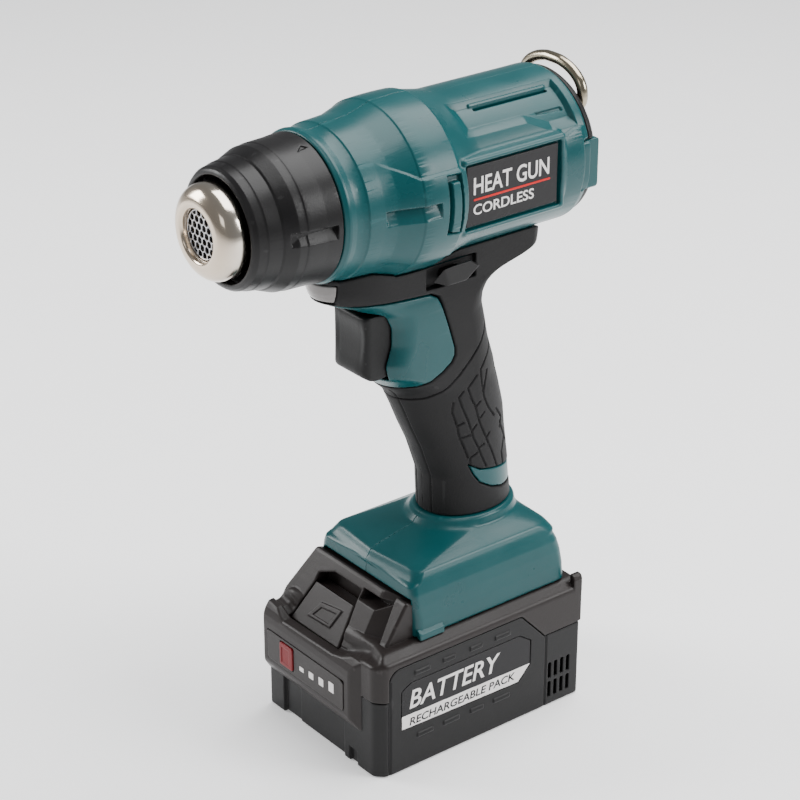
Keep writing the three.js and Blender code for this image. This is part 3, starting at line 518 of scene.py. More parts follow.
def barrel(x, y, z):
    r = np.hypot(y, z - AXIS_Z)
    side = np.abs(y)
    a = np.degrees(np.arctan2(z - AXIS_Z, side)) * DEGREE
    depth = RECESS_DEPTH * np.minimum.reduce([
        ramp(-polygon(x, a, RECESS) / 4.6), ramp((69.4 * DEGREE - a) / 2.5), ramp((x + 52.6) / 1.4),
    ])
    slot = np.maximum(between(x, -48.4, -11.2), between(a, 61.4 * DEGREE, 63.4 * DEGREE))
    depth += SLOT_DEPTH * ramp(-slot / 0.45 + 0.2)
    lip = np.maximum(between(x, -48.4, -9.6), between(a, 64.0 * DEGREE, 66.6 * DEGREE))
    depth -= 0.8 * ramp(-lip / 0.4 + 0.3)
    depth += 0.75 * ramp(-polygon(x, a, SMALL_SLOT) / 0.5)
    raised = ramp(-polygon(x, a, SIDE_PANEL) / 1.1) * np.interp(x, [-56, -53, 30, 44], [0, 1, 1, 0])
    depth -= PANEL_RISE * raised
    depth += np.clip(0.42 * (a + 5.6 * DEGREE + 0.3), 0, 2.3) * ramp(-polygon(x, a, SIDE_GROOVE) / 0.45)
    depth += BAR_DEPTH * ramp(-polygon(x, a, BAR_SPACE) / 0.5)
    depth -= BAR_DEPTH * ramp(-polygon(x, a, BAR) / 0.5)
    body = r - np.interp(x, BARREL_X, BARREL_R) + depth
    body = smax(body * 0.9, REAR_X + 6.3 - x, 1.6)
    body = smax(body, x - 61.9, 0.5)
    frame_face = box(x, side, z, (-43.2, 8.6), (20, 32.7), (226, 257), 1.6)
    body = smin(body, frame_face, 1.2)
    low, high = PLATE_LOW - PLATE_SPACE, PLATE_HIGH + PLATE_SPACE
    well = box(x, side, z, (low[0], high[0]), (PLATE_HIGH[1] - 1.6, 60), (low[2], high[2]), 1.1)
    body = cut(body, well, 0.8)
    notch = box(x, side, z, (-58.5, -53.4), (27.6, 50), (229.6, 251), 0.8)
    body = cut(body, notch, 0.8)
    clip = smax(box(x, side, z, (-63.3, -53), (19.4, 31), (229.2, 249.8), 1.2), r - 31.7, 0.8)
    clip = smax(clip, -smax(x + 57.5, 29.4 - side, 0.4), 0.4)
    return smin(body, clip, 0.5)


def bore(x, y, z):
    """Open space down the barrel, the handle and the foot."""
    r = np.hypot(y, z - AXIS_Z)
    barrel_space = r - BORE_RADIUS
    handle_space = handle(x, y, z) + HANDLE_WALL
    side = np.abs(y)
    channel = box(x, side, z, (-46.4, 70), (-1, 29.1), (60.4, 73.2), 0.5)
    neck = box(x, side, z, (-46.4, 70), (-1, 26.3), (40, 62), 0.5)
    roof = smax(loft(FOOT, x, y, z + 2.4) * 0.35 + 0.7, np.maximum(72.8 - z, z - 90), 0.5)
    return np.minimum.reduce([barrel_space, handle_space, channel, neck, roof])


TRIGGER_POCKET = [(12.6, 164.4), (50, 162.4), (50, 193), (12.6, 193)]


def openings(x, y, z):
    """Places for the trigger, the lock and the lens."""
    side = np.abs(y)
    pocket = rounded(polygon(x, z, TRIGGER_POCKET), side - 11.15, 0.6)
    slot = box(x, side, z, (-3.4, 5.4), (-1, 30), (201, 206.4), 0.4)
    lens = box(x, side, z, (51.6, 80), (-1, 12), (201.9, 210.1), 0.3)
    return np.minimum.reduce([pocket, slot, lens])


def screw_space(x, y, z):
    head = np.maximum(rods(x, z, SCREW_PLACES, 3.7), y + 9)
    shank = np.maximum(rods(x, z, SCREW_PLACES, 1.9), y - 6)
    return np.minimum(head, shank)


def half(d, y, side):
    return np.maximum(d, SPLIT - side * y)


def housing(side):
    """The field of one teal half: handle core, foot and barrel."""
    def field(x, y, z):
        outer = handle(x, y, z)
        panel = smax(outer + 0.25, polygon(x, z, TEAL_PANEL), 0.6)
        patch = smax(outer + 0.15, polygon(x, z, ACCENT) + 0.3, 0.6)
        solid = np.minimum.reduce([outer + SKIN_SPACE, panel, patch])
        solid = smin(smin(solid, foot(x, y, z), 0.6), barrel(x, y, z), 0.8)
        solid = cut(solid, bore(x, y, z), 0.6)
        solid = cut(solid, openings(x, y, z), 0.7)
        if side < 0:
            solid = cut(solid, screw_space(x, y, z), 0.3)
        return half(solid, y, side)

    return field


def grip(side):
    """The field of one half of the soft grip, with its seams and moulded lines."""
    def field(x, y, z):
        outer = handle(x, y, z)
        flat = np.abs(y)
        web = np.minimum.reduce([line(x, z, path) for path in WEB])
        seams = line(x, z, LONG_SEAM)
        strip = np.where((z < 156) & (x > -8), np.abs(flat - 4.6), 9)
        solid = outer + 0.65 * ramp(1 - web / 0.62) + 0.7 * ramp(1 - seams / 0.6)
        solid = solid + 0.55 * ramp(1 - strip / 0.5)
        solid = cut(solid, outer + SKIN, 0.4)
        solid = cut(solid, polygon(x, z, TEAL_PANEL) - 0.45, 1.1)
        solid = cut(solid, polygon(x, z, ACCENT) - 0.2, 0.8)
        solid = cut(solid, barrel(x, y, z) - 0.5, 1.0)
        solid = cut(solid, foot(x, y, z) - 0.35, 0.8)
        solid = cut(solid, openings(x, y, z) - 0.1, 0.6)
        recess = box(x, flat, z, (-11.4, 13.4), (14.4, 30), (200.2, 210), 0.6)
        solid = cut(solid, recess, 0.6)
        if side < 0:
            solid = cut(solid, screw_space(x, y, z), 0.6)
        return half(solid, y, side)

    return field


# ---------------------------------------------------------------- finishes

def srgb(*rgb):
    """A colour of 0 to 255 as Blender's linear RGBA."""
    linear = (c / 255 / 12.92 if c < 10.4 else ((c / 255 + 0.055) / 1.055) ** 2.4 for c in rgb)
    return (*linear, 1.0)


def scaled(colour, factor, lift=0.0):
    return tuple(min(1.0, c * factor + lift) for c in colour[:3]) + (1.0,)


class Nodes:
    """Short hand for building a material's nodes."""

    def __init__(self, name):
        self.material = bpy.data.materials.new(name)
        self.material.use_nodes = True
        self.tree = self.material.node_tree
        self.tree.nodes.clear()
        self.shader = self.add("ShaderNodeBsdfPrincipled")
        out = self.add("ShaderNodeOutputMaterial")
        self.link(self.shader.outputs[0], out.inputs["Surface"])
        self.place = self.add("ShaderNodeTexCoord").outputs["Object"]

    def add(self, kind, **values):
        node = self.tree.nodes.new(kind)
        for key, value in values.items():
            if hasattr(node, key):
                setattr(node, key, value)
            else:
                node.inputs[key.replace("_", " ")].default_value = value
        return node

    def link(self, a, b):
        self.tree.links.new(a, b)

    def noise(self, scale, detail=3.0, stretch=None, roughness=0.55):
        node = self.add("ShaderNodeTexNoise", Scale=scale, Detail=detail, Roughness=roughness)
        if stretch:
            mapping = self.add("ShaderNodeMapping")
            mapping.inputs["Scale"].default_value = stretch
            self.link(self.place, mapping.inputs["Vector"])
            self.link(mapping.outputs[0], node.inputs["Vector"])
        else:
            self.link(self.place, node.inputs["Vector"])
        return node.outputs["Fac"]

    def remap(self, source, low, high, to_low, to_high):
        node = self.add("ShaderNodeMapRange")
        for key, value in zip(("From Min", "From Max", "To Min", "To Max"), (low, high, to_low, to_high)):
            node.inputs[key].default_value = value
        self.link(source, node.inputs["Value"])
        return node.outputs[0]

    def mix(self, factor, a, b, blend="MIX"):
        node = self.add("ShaderNodeMix", data_type="RGBA", blend_type=blend)
        for socket, value in ((node.inputs[0], factor), (node.inputs[6], a), (node.inputs[7], b)):
            if isinstance(value, (float, tuple)):
                socket.default_value = value
            else:
                self.link(value, socket)
        return node.outputs[2]

    def bump(self, source, strength, distance, normal=None):
        node = self.add("ShaderNodeBump")
        node.inputs["Strength"].default_value = strength
        node.inputs["Distance"].default_value = distance
        self.link(source, node.inputs["Height"])
        if normal:
            self.link(normal, node.inputs["Normal"])
        return node.outputs[0]

    def set(self, **values):
        for key, value in values.items():
            socket = self.shader.inputs[key.replace("_", " ")]
            if isinstance(value, (float, tuple)):
                socket.default_value = value
            else:
                self.link(value, socket)


def plastic(name, rgb, rough=0.42, grain=0.25, wear=0.2, tone=0.12, coat=0.0, hollow_shade=0.0, spec=0.24):
    """Moulded plastic or rubber: spark-eroded grain, patchy polish, a slightly lighter worn edge, and
    painted shade that darkens hollows and creases.
    """
    n = Nodes(name)
    fine, patch, speck = n.noise(1500.0, 2.0), n.noise(38.0, 4.0), n.noise(620.0, 3.0)
    base = srgb(*rgb)
    dark = scaled(base, 1 - tone)
    light = scaled(base, 1 + tone, 0.003)
    colour = n.mix(n.remap(patch, 0.3, 0.7, 0.0, 1.0), dark, light)
    edge = n.add("ShaderNodeNewGeometry").outputs["Pointiness"]
    worn = n.remap(edge, 0.515, 0.56, 0.0, wear)
    colour = n.mix(worn, colour, scaled(base, 1.5, 0.03))
    # Painted shade: where pointiness is low, in hollows and creases, the colour is darkened towards 0.45 of
    # the base.
    if hollow_shade:
        painted_hollow_shade = n.remap(edge, 0.43, 0.49, hollow_shade, 0.0)
        colour = n.mix(painted_hollow_shade, colour, scaled(base, 0.45))
    n.set(Base_Color=colour, Roughness=n.remap(patch, 0.25, 0.75, rough - 0.07, rough + 0.07))
    height = n.bump(fine, grain, 0.00012)
    n.set(Normal=n.bump(speck, grain * 0.6, 0.0002, height))
    n.set(Specular_IOR_Level=spec, Coat_Weight=coat, Coat_Roughness=0.25)
    return n.material


def metal(name, rgb, rough=0.22, stretch=(1.0, 1.0, 1.0), scratch=0.12, heat=None):
    """Turned or drawn metal: fine lines, uneven polish and, near a hot end, a straw tint."""
    n = Nodes(name)
    lines = n.noise(900.0, 3.0, stretch)
    patch = n.noise(45.0, 4.0)
    base = srgb(*rgb)
    colour = n.mix(n.remap(patch, 0.3, 0.7, 0.0, 0.8), base, scaled(base, 0.78))
    if heat:
        along = n.add("ShaderNodeSeparateXYZ")
        n.link(n.place, along.inputs[0])
        colour = n.mix(n.remap(along.outputs["X"], heat[0], heat[1], 0.0, 0.32), colour, srgb(*heat[2]))
    n.set(Base_Color=colour, Metallic=1.0, Roughness=n.remap(patch, 0.3, 0.7, rough * 0.8, rough * 1.3))
    n.set(Normal=n.bump(lines, scratch, 0.00005))
    return n.material


# Several finishes below carry painted shade in their hollows and creases.
TEAL = plastic("teal_plastic", (0, 66, 69), 0.31, 0.14, 0.3, 0.07, hollow_shade=0.35, spec=0.3)
RUBBER = plastic("grip_rubber", (16, 15, 16), 0.6, 0.45, 0.25, 0.1, hollow_shade=0.5, spec=0.22)
BLACK = plastic("black_plastic", (9, 8, 9), 0.4, 0.22, 0.3, 0.1, hollow_shade=0.4)
COLLAR = plastic("collar_plastic", (15, 14, 15), 0.36, 0.22, 0.25, 0.08, hollow_shade=0.4)
PACK_GREY = plastic("pack_grey_plastic", (33, 28, 27), 0.4, 0.28, 0.28, 0.08, hollow_shade=0.45)
PACK_BLACK = plastic("pack_black_plastic", (12, 11, 12), 0.42, 0.25, 0.3, 0.1, hollow_shade=0.4)
TRIGGER_BLACK = plastic("trigger_plastic", (6, 6, 7), 0.5, 0.3, 0.25, 0.1, hollow_shade=0.3)
BADGE = plastic("badge_film", (14, 12, 15), 0.3, 0.06, 0.1, 0.1)
WHITE = plastic("white_print", (226, 222, 220), 0.4, 0.06, 0.0, 0.03)
ORANGE = plastic("accent_print", (196, 14, 12), 0.4, 0.06, 0.0, 0.05)
RED = plastic("red_button", (110, 8, 16), 0.35, 0.1, 0.2, 0.06)
PANEL_GREY = plastic("gauge_film", (40, 36, 35), 0.38, 0.08, 0.1, 0.08)
LENS = plastic("light_lens", (118, 114, 112), 0.22, 0.04, 0.1, 0.03, coat=0.6)
GREEN_BOARD = plastic("circuit_board", (24, 82, 48), 0.4, 0.2, 0.1, 0.2)
CELL = plastic("cell_wrap", (52, 94, 140), 0.35, 0.05, 0.1, 0.06)
MICA = plastic("mica_sheet", (196, 178, 140), 0.5, 0.3, 0.1, 0.2)
CERAMIC = plastic("ceramic", (225, 218, 205), 0.6, 0.3, 0.1, 0.08)
CHROME = metal("polished_steel", (214, 208, 198), 0.17, (0.05, 1.0, 1.0), 0.1,
               (0.099, 0.107, (190, 150, 96)))
RING_STEEL = metal("ring_steel", (168, 158, 138), 0.2, (1.0, 1.0, 1.0), 0.1)
STEEL = metal("zinc_steel", (180, 180, 182), 0.3)
COPPER = metal("copper", (196, 118, 82), 0.3)
WIRE_METAL = metal("heating_wire", (150, 138, 128), 0.35)


# ---------------------------------------------------------------- fixed shell pieces

for word, side in (("left", 1), ("right", -1)):
    reach = (0, 39) if side > 0 else (-39, 0)
    shell = carved(f"{word}_shell", housing(side), (-64, reach[0], 54), (63, reach[1], 276.8), 0.5, 110000)
    finished(shell, "tool", TEAL, f"{word}_housing")
    low, high = (-54, reach[0] / 2, 88), (60, reach[1] / 2, 226)
    cover = carved(f"{word}_rubber_grip", grip(side), low, high, 0.42, 90000)
    finished(cover, "tool", RUBBER, f"{word}_grip")

# ---------------------------------------------------------------- collar, nozzle, cap, ring

COLLAR_OUTLINE = [
    (48, 22.8), (48, 24.3), (62.2, 24.3), (62.2, 28.7), (62.8, 29.2), (69, 28.65), (77.4, 28.35),
    (78, 28.1),
    (81.2, 27.9), (86.4, 25.9), (87, 25.4), (92.6, 24.6), (93.2, 24.3), (96.4, 23.7), (97.8, 22.7),
    (98.3, 21.6),
    (98.3, 20.9), (97.7, 20.5), (95, 20.5), (95, 22.8),
]
COLLAR_GROOVE = [(64.6, 2.6), (84.4, 3.3), (84.4, -2.3), (64.6, -3.2)]
COLLAR_MARK = [(64.2, 70), (69.6, 68.6), (66.2, 74)]


def collar(x, y, z):
    r = np.hypot(y, z - AXIS_Z)
    a = np.degrees(np.arctan2(z - AXIS_Z, np.abs(y)))
    up = z - AXIS_Z
    slope = np.minimum(0.62 * np.maximum(up + 3.2 - 0.045 * (x - 64.6), 0), 2.6)
    depth = slope * ramp(-polygon(x, up, COLLAR_GROOVE) / 0.45)
    depth = np.where((np.abs(y) > 20) & (r > 26), depth, 0)
    mark = polygon(x, a * 0.5, [(u, v * 0.5) for u, v in COLLAR_MARK])
    depth = depth + np.where(r > 27, 0.5 * ramp(-mark / 0.3), 0)
    return polygon(x, r, COLLAR_OUTLINE) - 0.02 + depth


finished(
    carved("nozzle_collar", collar, (47, -30, AXIS_Z - 30), (99, 30, AXIS_Z + 30), 0.42, 90000),
    "tool", COLLAR, "front_collar", 30,
)

dome = eased([
    (96.6, 18.4), (99, 18.7), (101.5, 18.7), (103.5, 18.3), (105.4, 17.2), (106.8, 15.6), (107.7, 13.8),
    (108.0, 12.4),
], 6)
outline = [(56, 17.4), (56, 21), (58, 21), (58, 18.1), (94.6, 18.1),
           (95.6, 18.2)] + [tuple(p) for p in dome]
outline += [(108.0, 11.3), (107.8, 10.6), (107.2, 10.15), (103.2, 10), (103.2, 14.4), (101, 17.0)]
finished(lathe("nozzle_tip", outline, 200), "tool", CHROME, "nozzle", 40)

HEX_PITCH = 3.05  # across the flats, one hole and one bar of the grille


def honeycomb(x, y, z):
    r = np.hypot(y, z - AXIS_Z)
    row = HEX_PITCH * math.sqrt(3)
    nearest = np.full(x.shape, 1e9, np.float32)
    for oy, oz in ((0.0, 0.0), (HEX_PITCH / 2, row / 2)):
        py = np.abs((y - oy + HEX_PITCH / 2) % HEX_PITCH - HEX_PITCH / 2)
        pz = np.abs((z - AXIS_Z - oz + row / 2) % row - row / 2)
        nearest = np.minimum(nearest, np.maximum(py, py * 0.5 + pz * 0.866))
    hole = np.maximum(nearest - HEX_PITCH / 2 + 0.34, r - 9.1)
    plate = rounded(r - 9.7, between(x, 103.5, 105.5), 0.2)
    return cut(plate, hole, 0.25)


finished(
    carved("outlet_honeycomb", honeycomb, (103.4, -9.8, AXIS_Z - 9.8), (105.6, 9.8, AXIS_Z + 9.8), 0.17,
           60000),
    "tool", STEEL, "outlet_grille",
)

RING_LOW, RING_HIGH = span("hanging_ring")
RING_X = float((RING_LOW[0] + RING_HIGH[0]) / 2)
RING_Z = float(RING_LOW[2]) + WIRE_RADIUS
RING_SIDE = float(RING_HIGH[1]) - WIRE_RADIUS
RING_TOP = float(RING_HIGH[2]) - WIRE_RADIUS
CAP_REAR = span("rear_cap")[0][0]
BAR_HALF = 13.0  # half length of the bar that holds the ring
BAR_RADIUS = 4.1
CAP_OUTLINE = [
    (-50, 24.4), (-50, 26.2), (REAR_X + 5.9, 26.2), (REAR_X + 5.9, 30.4), (REAR_X + 5.4, 30.9),
    (-59.6, 30.7),
    (-61, 29.6), (-61.6, 27.6), (-61.6, 0), (-58.6, 0), (-58.6, 24.4),
]


def rear_cap(x, y, z):
    up = z - AXIS_Z
    r = np.hypot(y, up)
    body = polygon(x, r, CAP_OUTLINE) - 0.05
    dish = np.hypot(r - 24.6, x + 61.8) - 0.7
    body = cut(body, dish, 0.5)
    slots = np.full(x.shape, 9.0, np.float32)
    for row in range(7):
        middle_z = -21 + row * 5
        reach = math.sqrt(22**2 - middle_z**2)
        slot = rounded(between(np.abs(y), 1.6, reach), np.abs(up - middle_z) - 1.25, 0.7)
        slots = np.minimum(slots, slot)
    body = cut(body, slots, 0.5)
    bar = rounded(np.hypot(x - RING_X, z - RING_Z) - BAR_RADIUS, np.abs(y) - BAR_HALF, 0.7)
    heights = (RING_Z - BAR_RADIUS, RING_Z + BAR_RADIUS)
    bar = np.minimum(bar, box(x, y, z, (RING_X, -60), (-BAR_HALF, BAR_HALF), heights, 0.7))
    body = smin(body, bar, 1.2)
    body = cut(body, np.hypot(x - RING_X, z - RING_Z) - 2.35, 0.3)
    clip = box(x, np.abs(y), z, (-66, -50), (19, 32), (228.7, 250.4), 0.4)
    return cut(body, clip, 0.5)


finished(
    carved("vent_cap", rear_cap, (CAP_REAR, -31.2, AXIS_Z - 31.2), (-49.8, 31.2, AXIS_Z + 31.2), 0.42,
           80000),
    "tool", BLACK, "rear_cap", 40,
)

bend, shoulder = 4.0, RING_Z + 5.5
right = [(5.6, RING_Z), (8, RING_Z), (11, RING_Z), (RING_SIDE - bend, RING_Z)]
right += [
    (RING_SIDE - bend + bend * math.sin(math.radians(t)), RING_Z + bend - bend * math.cos(math.radians(t)))
    for t in (30, 60, 90)
]
right += [
    (RING_SIDE * math.cos(math.radians(t)), shoulder + (RING_TOP - shoulder) * math.sin(math.radians(t)))
    for t in range(0, 90, 10)
]
loop = [(RING_X, -y, z) for y, z in right] + [(RING_X, y, z) for y, z in right[::-1]]
finished(tube("hook_ring", eased(loop, 5), WIRE_RADIUS, 24), "ring", RING_STEEL, "hanging_ring",
         60)

# ---------------------------------------------------------------- trigger, lock and lens

TRIGGER_REAR = float(span("trigger")[0][0])
TRIGGER_OUTLINE = eased([
    (30, 165), (34, 164.9), (37.6, 166.2), (40.4, 168.8), (41.7, 172.4), (40.9, 176.4), (39.6, 180.5),
    (39.3, 185),
    (39.9, 189.4), (39, 191.8), (36.6, 192.6), (30, 192.6),
], 4).tolist()
TRIGGER_OUTLINE = [(TRIGGER_REAR, 192.6), (TRIGGER_REAR, 166.4)] + [tuple(p) for p in TRIGGER_OUTLINE]
SPRING_LOW, SPRING_HIGH = span("trigger_spring")
SPRING_Z = float(SPRING_LOW[2] + SPRING_HIGH[2]) / 2
SPRING_HOLE = float(SPRING_HIGH[1]) + 0.7
SPRING_REACH = float(SPRING_HIGH[0]) + 6.6  # clears the spring when the trigger is pulled


def trigger(x, y, z):
    flat = np.abs(y)
    body = rounded(polygon(x, z, TRIGGER_OUTLINE), flat - 10.75, 1.0)
    face = (x - 40.6) * 0.8 + (flat - 7.4) * 0.6 + 0.25
    body = smax(body, face, 1.6)
    hollow = np.hypot(x - 55, (z - 181) * 0.62) - 16.6
    finger = smax(hollow, flat - 8.6, 2.4)
    body = cut(body, finger, 2.2)
    inside = smax(polygon(x, z, TRIGGER_OUTLINE) + 2.6, flat - 8, 0.5)
    inside = np.minimum(inside, np.hypot(y, z - SPRING_Z) - SPRING_HOLE)
    return cut(body, np.maximum(inside, x - SPRING_REACH), 0.4)


finished(
    carved("trigger_lever", trigger, span("trigger")[0], span("trigger")[1], 0.32, 50000),
    "trigger", TRIGGER_BLACK, "trigger", 60,
)

LOCK_OUTLINE = [(-10.6, 206), (-4, 201.2), (6, 201.2), (12.6, 203.6), (10.2, 209.2), (-6, 209.2)]


def lock(x, y, z):
    flat = np.abs(y)
    lever = rounded(polygon(x, z, LOCK_OUTLINE), between(flat, 16.9, 20.4), 0.7)
    slope = (flat - 19) * 0.85 - (z - 205.9 + (x - 2) * 0.16) * 0.5
    lever = smax(lever, -slope - 0.9, 0.5)
    bevel = (flat - 18.6) * 0.8 + (x - 8.6) * 0.55 + (203.5 - z) * 0.2
    lever = smax(lever, bevel, 0.5)
    bar = box(x, y, z, (-2.8, 4.8), (-17.6, 17.6), (201.6, 205.8), 0.5)
    return smin(lever, bar, 0.6)


finished(
    carved("direction_lock", lock, span("lock_shuttle")[0], span("lock_shuttle")[1], 0.3, 40000),
    "lock_shuttle", BLACK, "lock_shuttle", 40,
)


def lens_shape(x, y, z):
    outer = smax(handle(x, y, z) + 0.15, between(z, 202.2, 209.8), 0.7)
    outer = smax(outer, 51.9 - x, 0.3)
    hollow = smax(handle(x, y, z) + 1.7, between(z, 203.3, 208.7), 0.6)
    return cut(outer, np.maximum(hollow, x - 55.6), 0.4)


finished(
    carved("work_light", lens_shape, (51.5, -11.5, 202), (58, 11.5, 210), 0.28, 30000),
    "tool", LENS, "light_lens", 50,
)

# ---------------------------------------------------------------- battery pack

SEAM_Z = float(span("pack_lower_housing")[1][2]) - 14.2
LEDGE_Z = 55.9
SLOT_PITCH = 3.45
PACK_WALL = 2.2
BUTTON_SPACE = 0.3
LABEL_Y = float(span("left_pack_label")[1][1])
LABEL_EDGE = eased([(42.4, 20.6), (42.4, 36.2), (41.6, 38.6), (37.6, 40.8)], 3).tolist()
LABEL_OUTLINE = [tuple(p) for p in LABEL_EDGE]
LABEL_OUTLINE += [(-20.5, 40.8), (-26.6, 36.5), (-26.6, 25.3), (-20.1, 18.4)]
LATCH_LOW, LATCH_HIGH = span("latch_button")
PANEL_LOW, PANEL_HIGH = span("gauge_panel")
BUTTON_LOW, BUTTON_HIGH = span("gauge_button")
# Small ribs on the pack's sides as (x, z, half length).
NUBS = [
    (31.9, 45.0, 4.0), (17.9, 45.1, 3.2), (3.5, 45.0, 3.3), (-10.9, 45.0, 4.1),
    (30.3, 14.6, 4.2), (16.4, 14.6, 4.2), (2.7, 14.5, 3.5), (-10.8, 14.5, 4.4),
]
PACK_SCREW_PLACES = [tuple(float(v) for v in (sum(span(f"pack_screw_{i}")) / 2)[:2]) for i in range(1, 5)]


def plan(x, y, inset=0.0):
    """The pack seen from above: chamfered front corners, small round rear ones."""
    side = np.abs(y)
    body = rounded(np.abs(x) - PACK_X + inset, side - PACK_Y + inset, 1.2)
    return smax(body, (x + y - PACK_X - PACK_Y + 4.2 + 1.2 * inset) * 0.7071, 1.4)


def side_panel(x, z):
    """Outline of the side that belongs to the lower housing."""
    high = rounded(x - 48.5, z - 49.6, 5.2)
    high = smax(high, (-34.7 - x) * 0.73 + (z - SEAM_Z) * 0.68, 0.8)
    return np.minimum(high, z - SEAM_Z)


def pack_screw_space(x, y, z):
    shafts = np.minimum.reduce([np.hypot(x - a, y - b) for a, b in PACK_SCREW_PLACES])
    return np.minimum(np.maximum(shafts - 2.6, z - 3.2), np.maximum(shafts - 1.5, z - 42))


def button_space(x, y, z):
    low, high = BUTTON_LOW - BUTTON_SPACE, BUTTON_HIGH + BUTTON_SPACE
    return box(x, y, z, (40, 70), (low[1], high[1]), (low[2], high[2]), 0.4)


def pack_lower(x, y, z):
    side = np.abs(y)
    face = x - PACK_X
    body = smax(smax(plan(x, y), -z, 1.0), side_panel(x, z), 0.6)
    step = 0.9 * ramp(-between(y, -28, 14.8) / 0.5) + 0.6 * ramp(-between(y, -28, -16.5) / 0.4)
    notch = np.maximum(between(y, 18, 23.5), z - 7)
    step = step + 1.4 * ramp(-notch / 0.4)
    body = smax(body, face + step * np.interp(z, [19, 24], [1, 0]), 0.7)
    undercut = np.where((y > -28) & (y < 14.8), 0.8, -9) - z
    body = smax(body, undercut - face * 0.02 - 30 * (x < 50), 0.4)
    front_groove = np.hypot(x - 48.5, side - PACK_Y) - 0.75
    rear_groove = np.hypot(x + 35.5, side - PACK_Y) - 0.6
    body = cut(body, np.minimum(np.maximum(front_groove, z - 45), np.maximum(rear_groove, z - SEAM_Z)), 0.3)
    nub = np.full(x.shape, 9.0, np.float32)
    for middle, level, reach in NUBS:
        one = box(x - middle, side, z - level, (-reach, reach), (36, PACK_Y + 0.8), (-1.0, 1.0), 0.4)
        nub = np.minimum(nub, one)
    nub = smax(nub, (side - PACK_Y - 0.9) * 0.8 + (z - np.where(z > 30, 45, 14.5)) * 0.4, 0.3)
    body = smin(body, nub, 0.4)
    edge = np.maximum(polygon(x, z, LABEL_OUTLINE) - 0.35, LABEL_Y - 0.75 - side)
    body = cut(body, edge, 0.3)
    body = cut(body, smax(plan(x, y, PACK_WALL), PACK_WALL - z, 0.4), 0.4)
    slot = np.full(x.shape, 9.0, np.float32)
    for i in range(4):
        for low, high in ((4, 11.6), (13.4, 21)):
            one = rounded(np.abs(x + 38 + SLOT_PITCH * i) - 0.85, between(z, low, high), 0.5)
            slot = np.minimum(slot, one)
    body = cut(body, slot, 0.4)
    body = cut(body, np.maximum(button_space(x, y, z), 50 - x), 0.3)
    return cut(body, pack_screw_space(x, y, z), 0.3)


finished(
    carved("pack_lower_shell", pack_lower, (-54.6, -38.9, 0), (54.6, 38.9, 50), 0.46, 90000),
    "battery", PACK_BLACK, "pack_lower_housing",
)

RAMP_OUTLINE = [(26, 50), (26, 70), (30.6, 71.6), (32.6, 72.4), (33.4, 72.3), (34.2, 71.6), (49.2, 48.1),
                (49.5, 47), (49.5, 40), (30, 40)]
FASCIA_SIDE = [(PACK_X - 3, 18.6), (PACK_X + 0.3, 18.6), (FACE_X - 0.7, 22.2), (FACE_X - 0.1, 24),
               (FACE_X - 0.1, 43),
               (FACE_X - 0.6, 45.6), (FACE_X - 1.7, 48.4), (PACK_X - 0.3, 51), (PACK_X - 3, 51.6)]
FASCIA_PLAN = [(40, -38), (56.9, -38), (FACE_X - 0.1, -37.2), (FACE_X - 0.1, 21.2), (FACE_X - 0.7, 22.4),
               (54.6, 26.6), (40, 26.6)]
LATCH_PAD = [(38, 60.4), (40.2, 61.8), (50.6, 46.4), (50, 45.5), (47.6, 45.2)]
EAR = [(34.8, 50), (38, 50), (38, 56.6), (37.2, 58.2), (36, 58.6), (34.8, 58.6)]


def latch_sides(z):
    """The latch's tapering left and right edges."""
    return LATCH_LOW[1] - 0.27 * np.maximum(62 - z, 0), LATCH_HIGH[1] + 0.16 * np.maximum(64 - z, 0)


def latch_space(x, y, z, gap):
    """The tapering well in the ramp that the latch sits in, grown by gap from the latch's outline."""
    left, right = latch_sides(z)
    well = smax(between(y, left - gap, right + gap) * 0.95, 32.8 - x, 0.6)
    corner = (z - 68.2) * 0.8 + np.maximum(-y - 15, 0) * 0.3
    return smax(smax(well, corner, 0.8), 42.6 - z, 0.4)


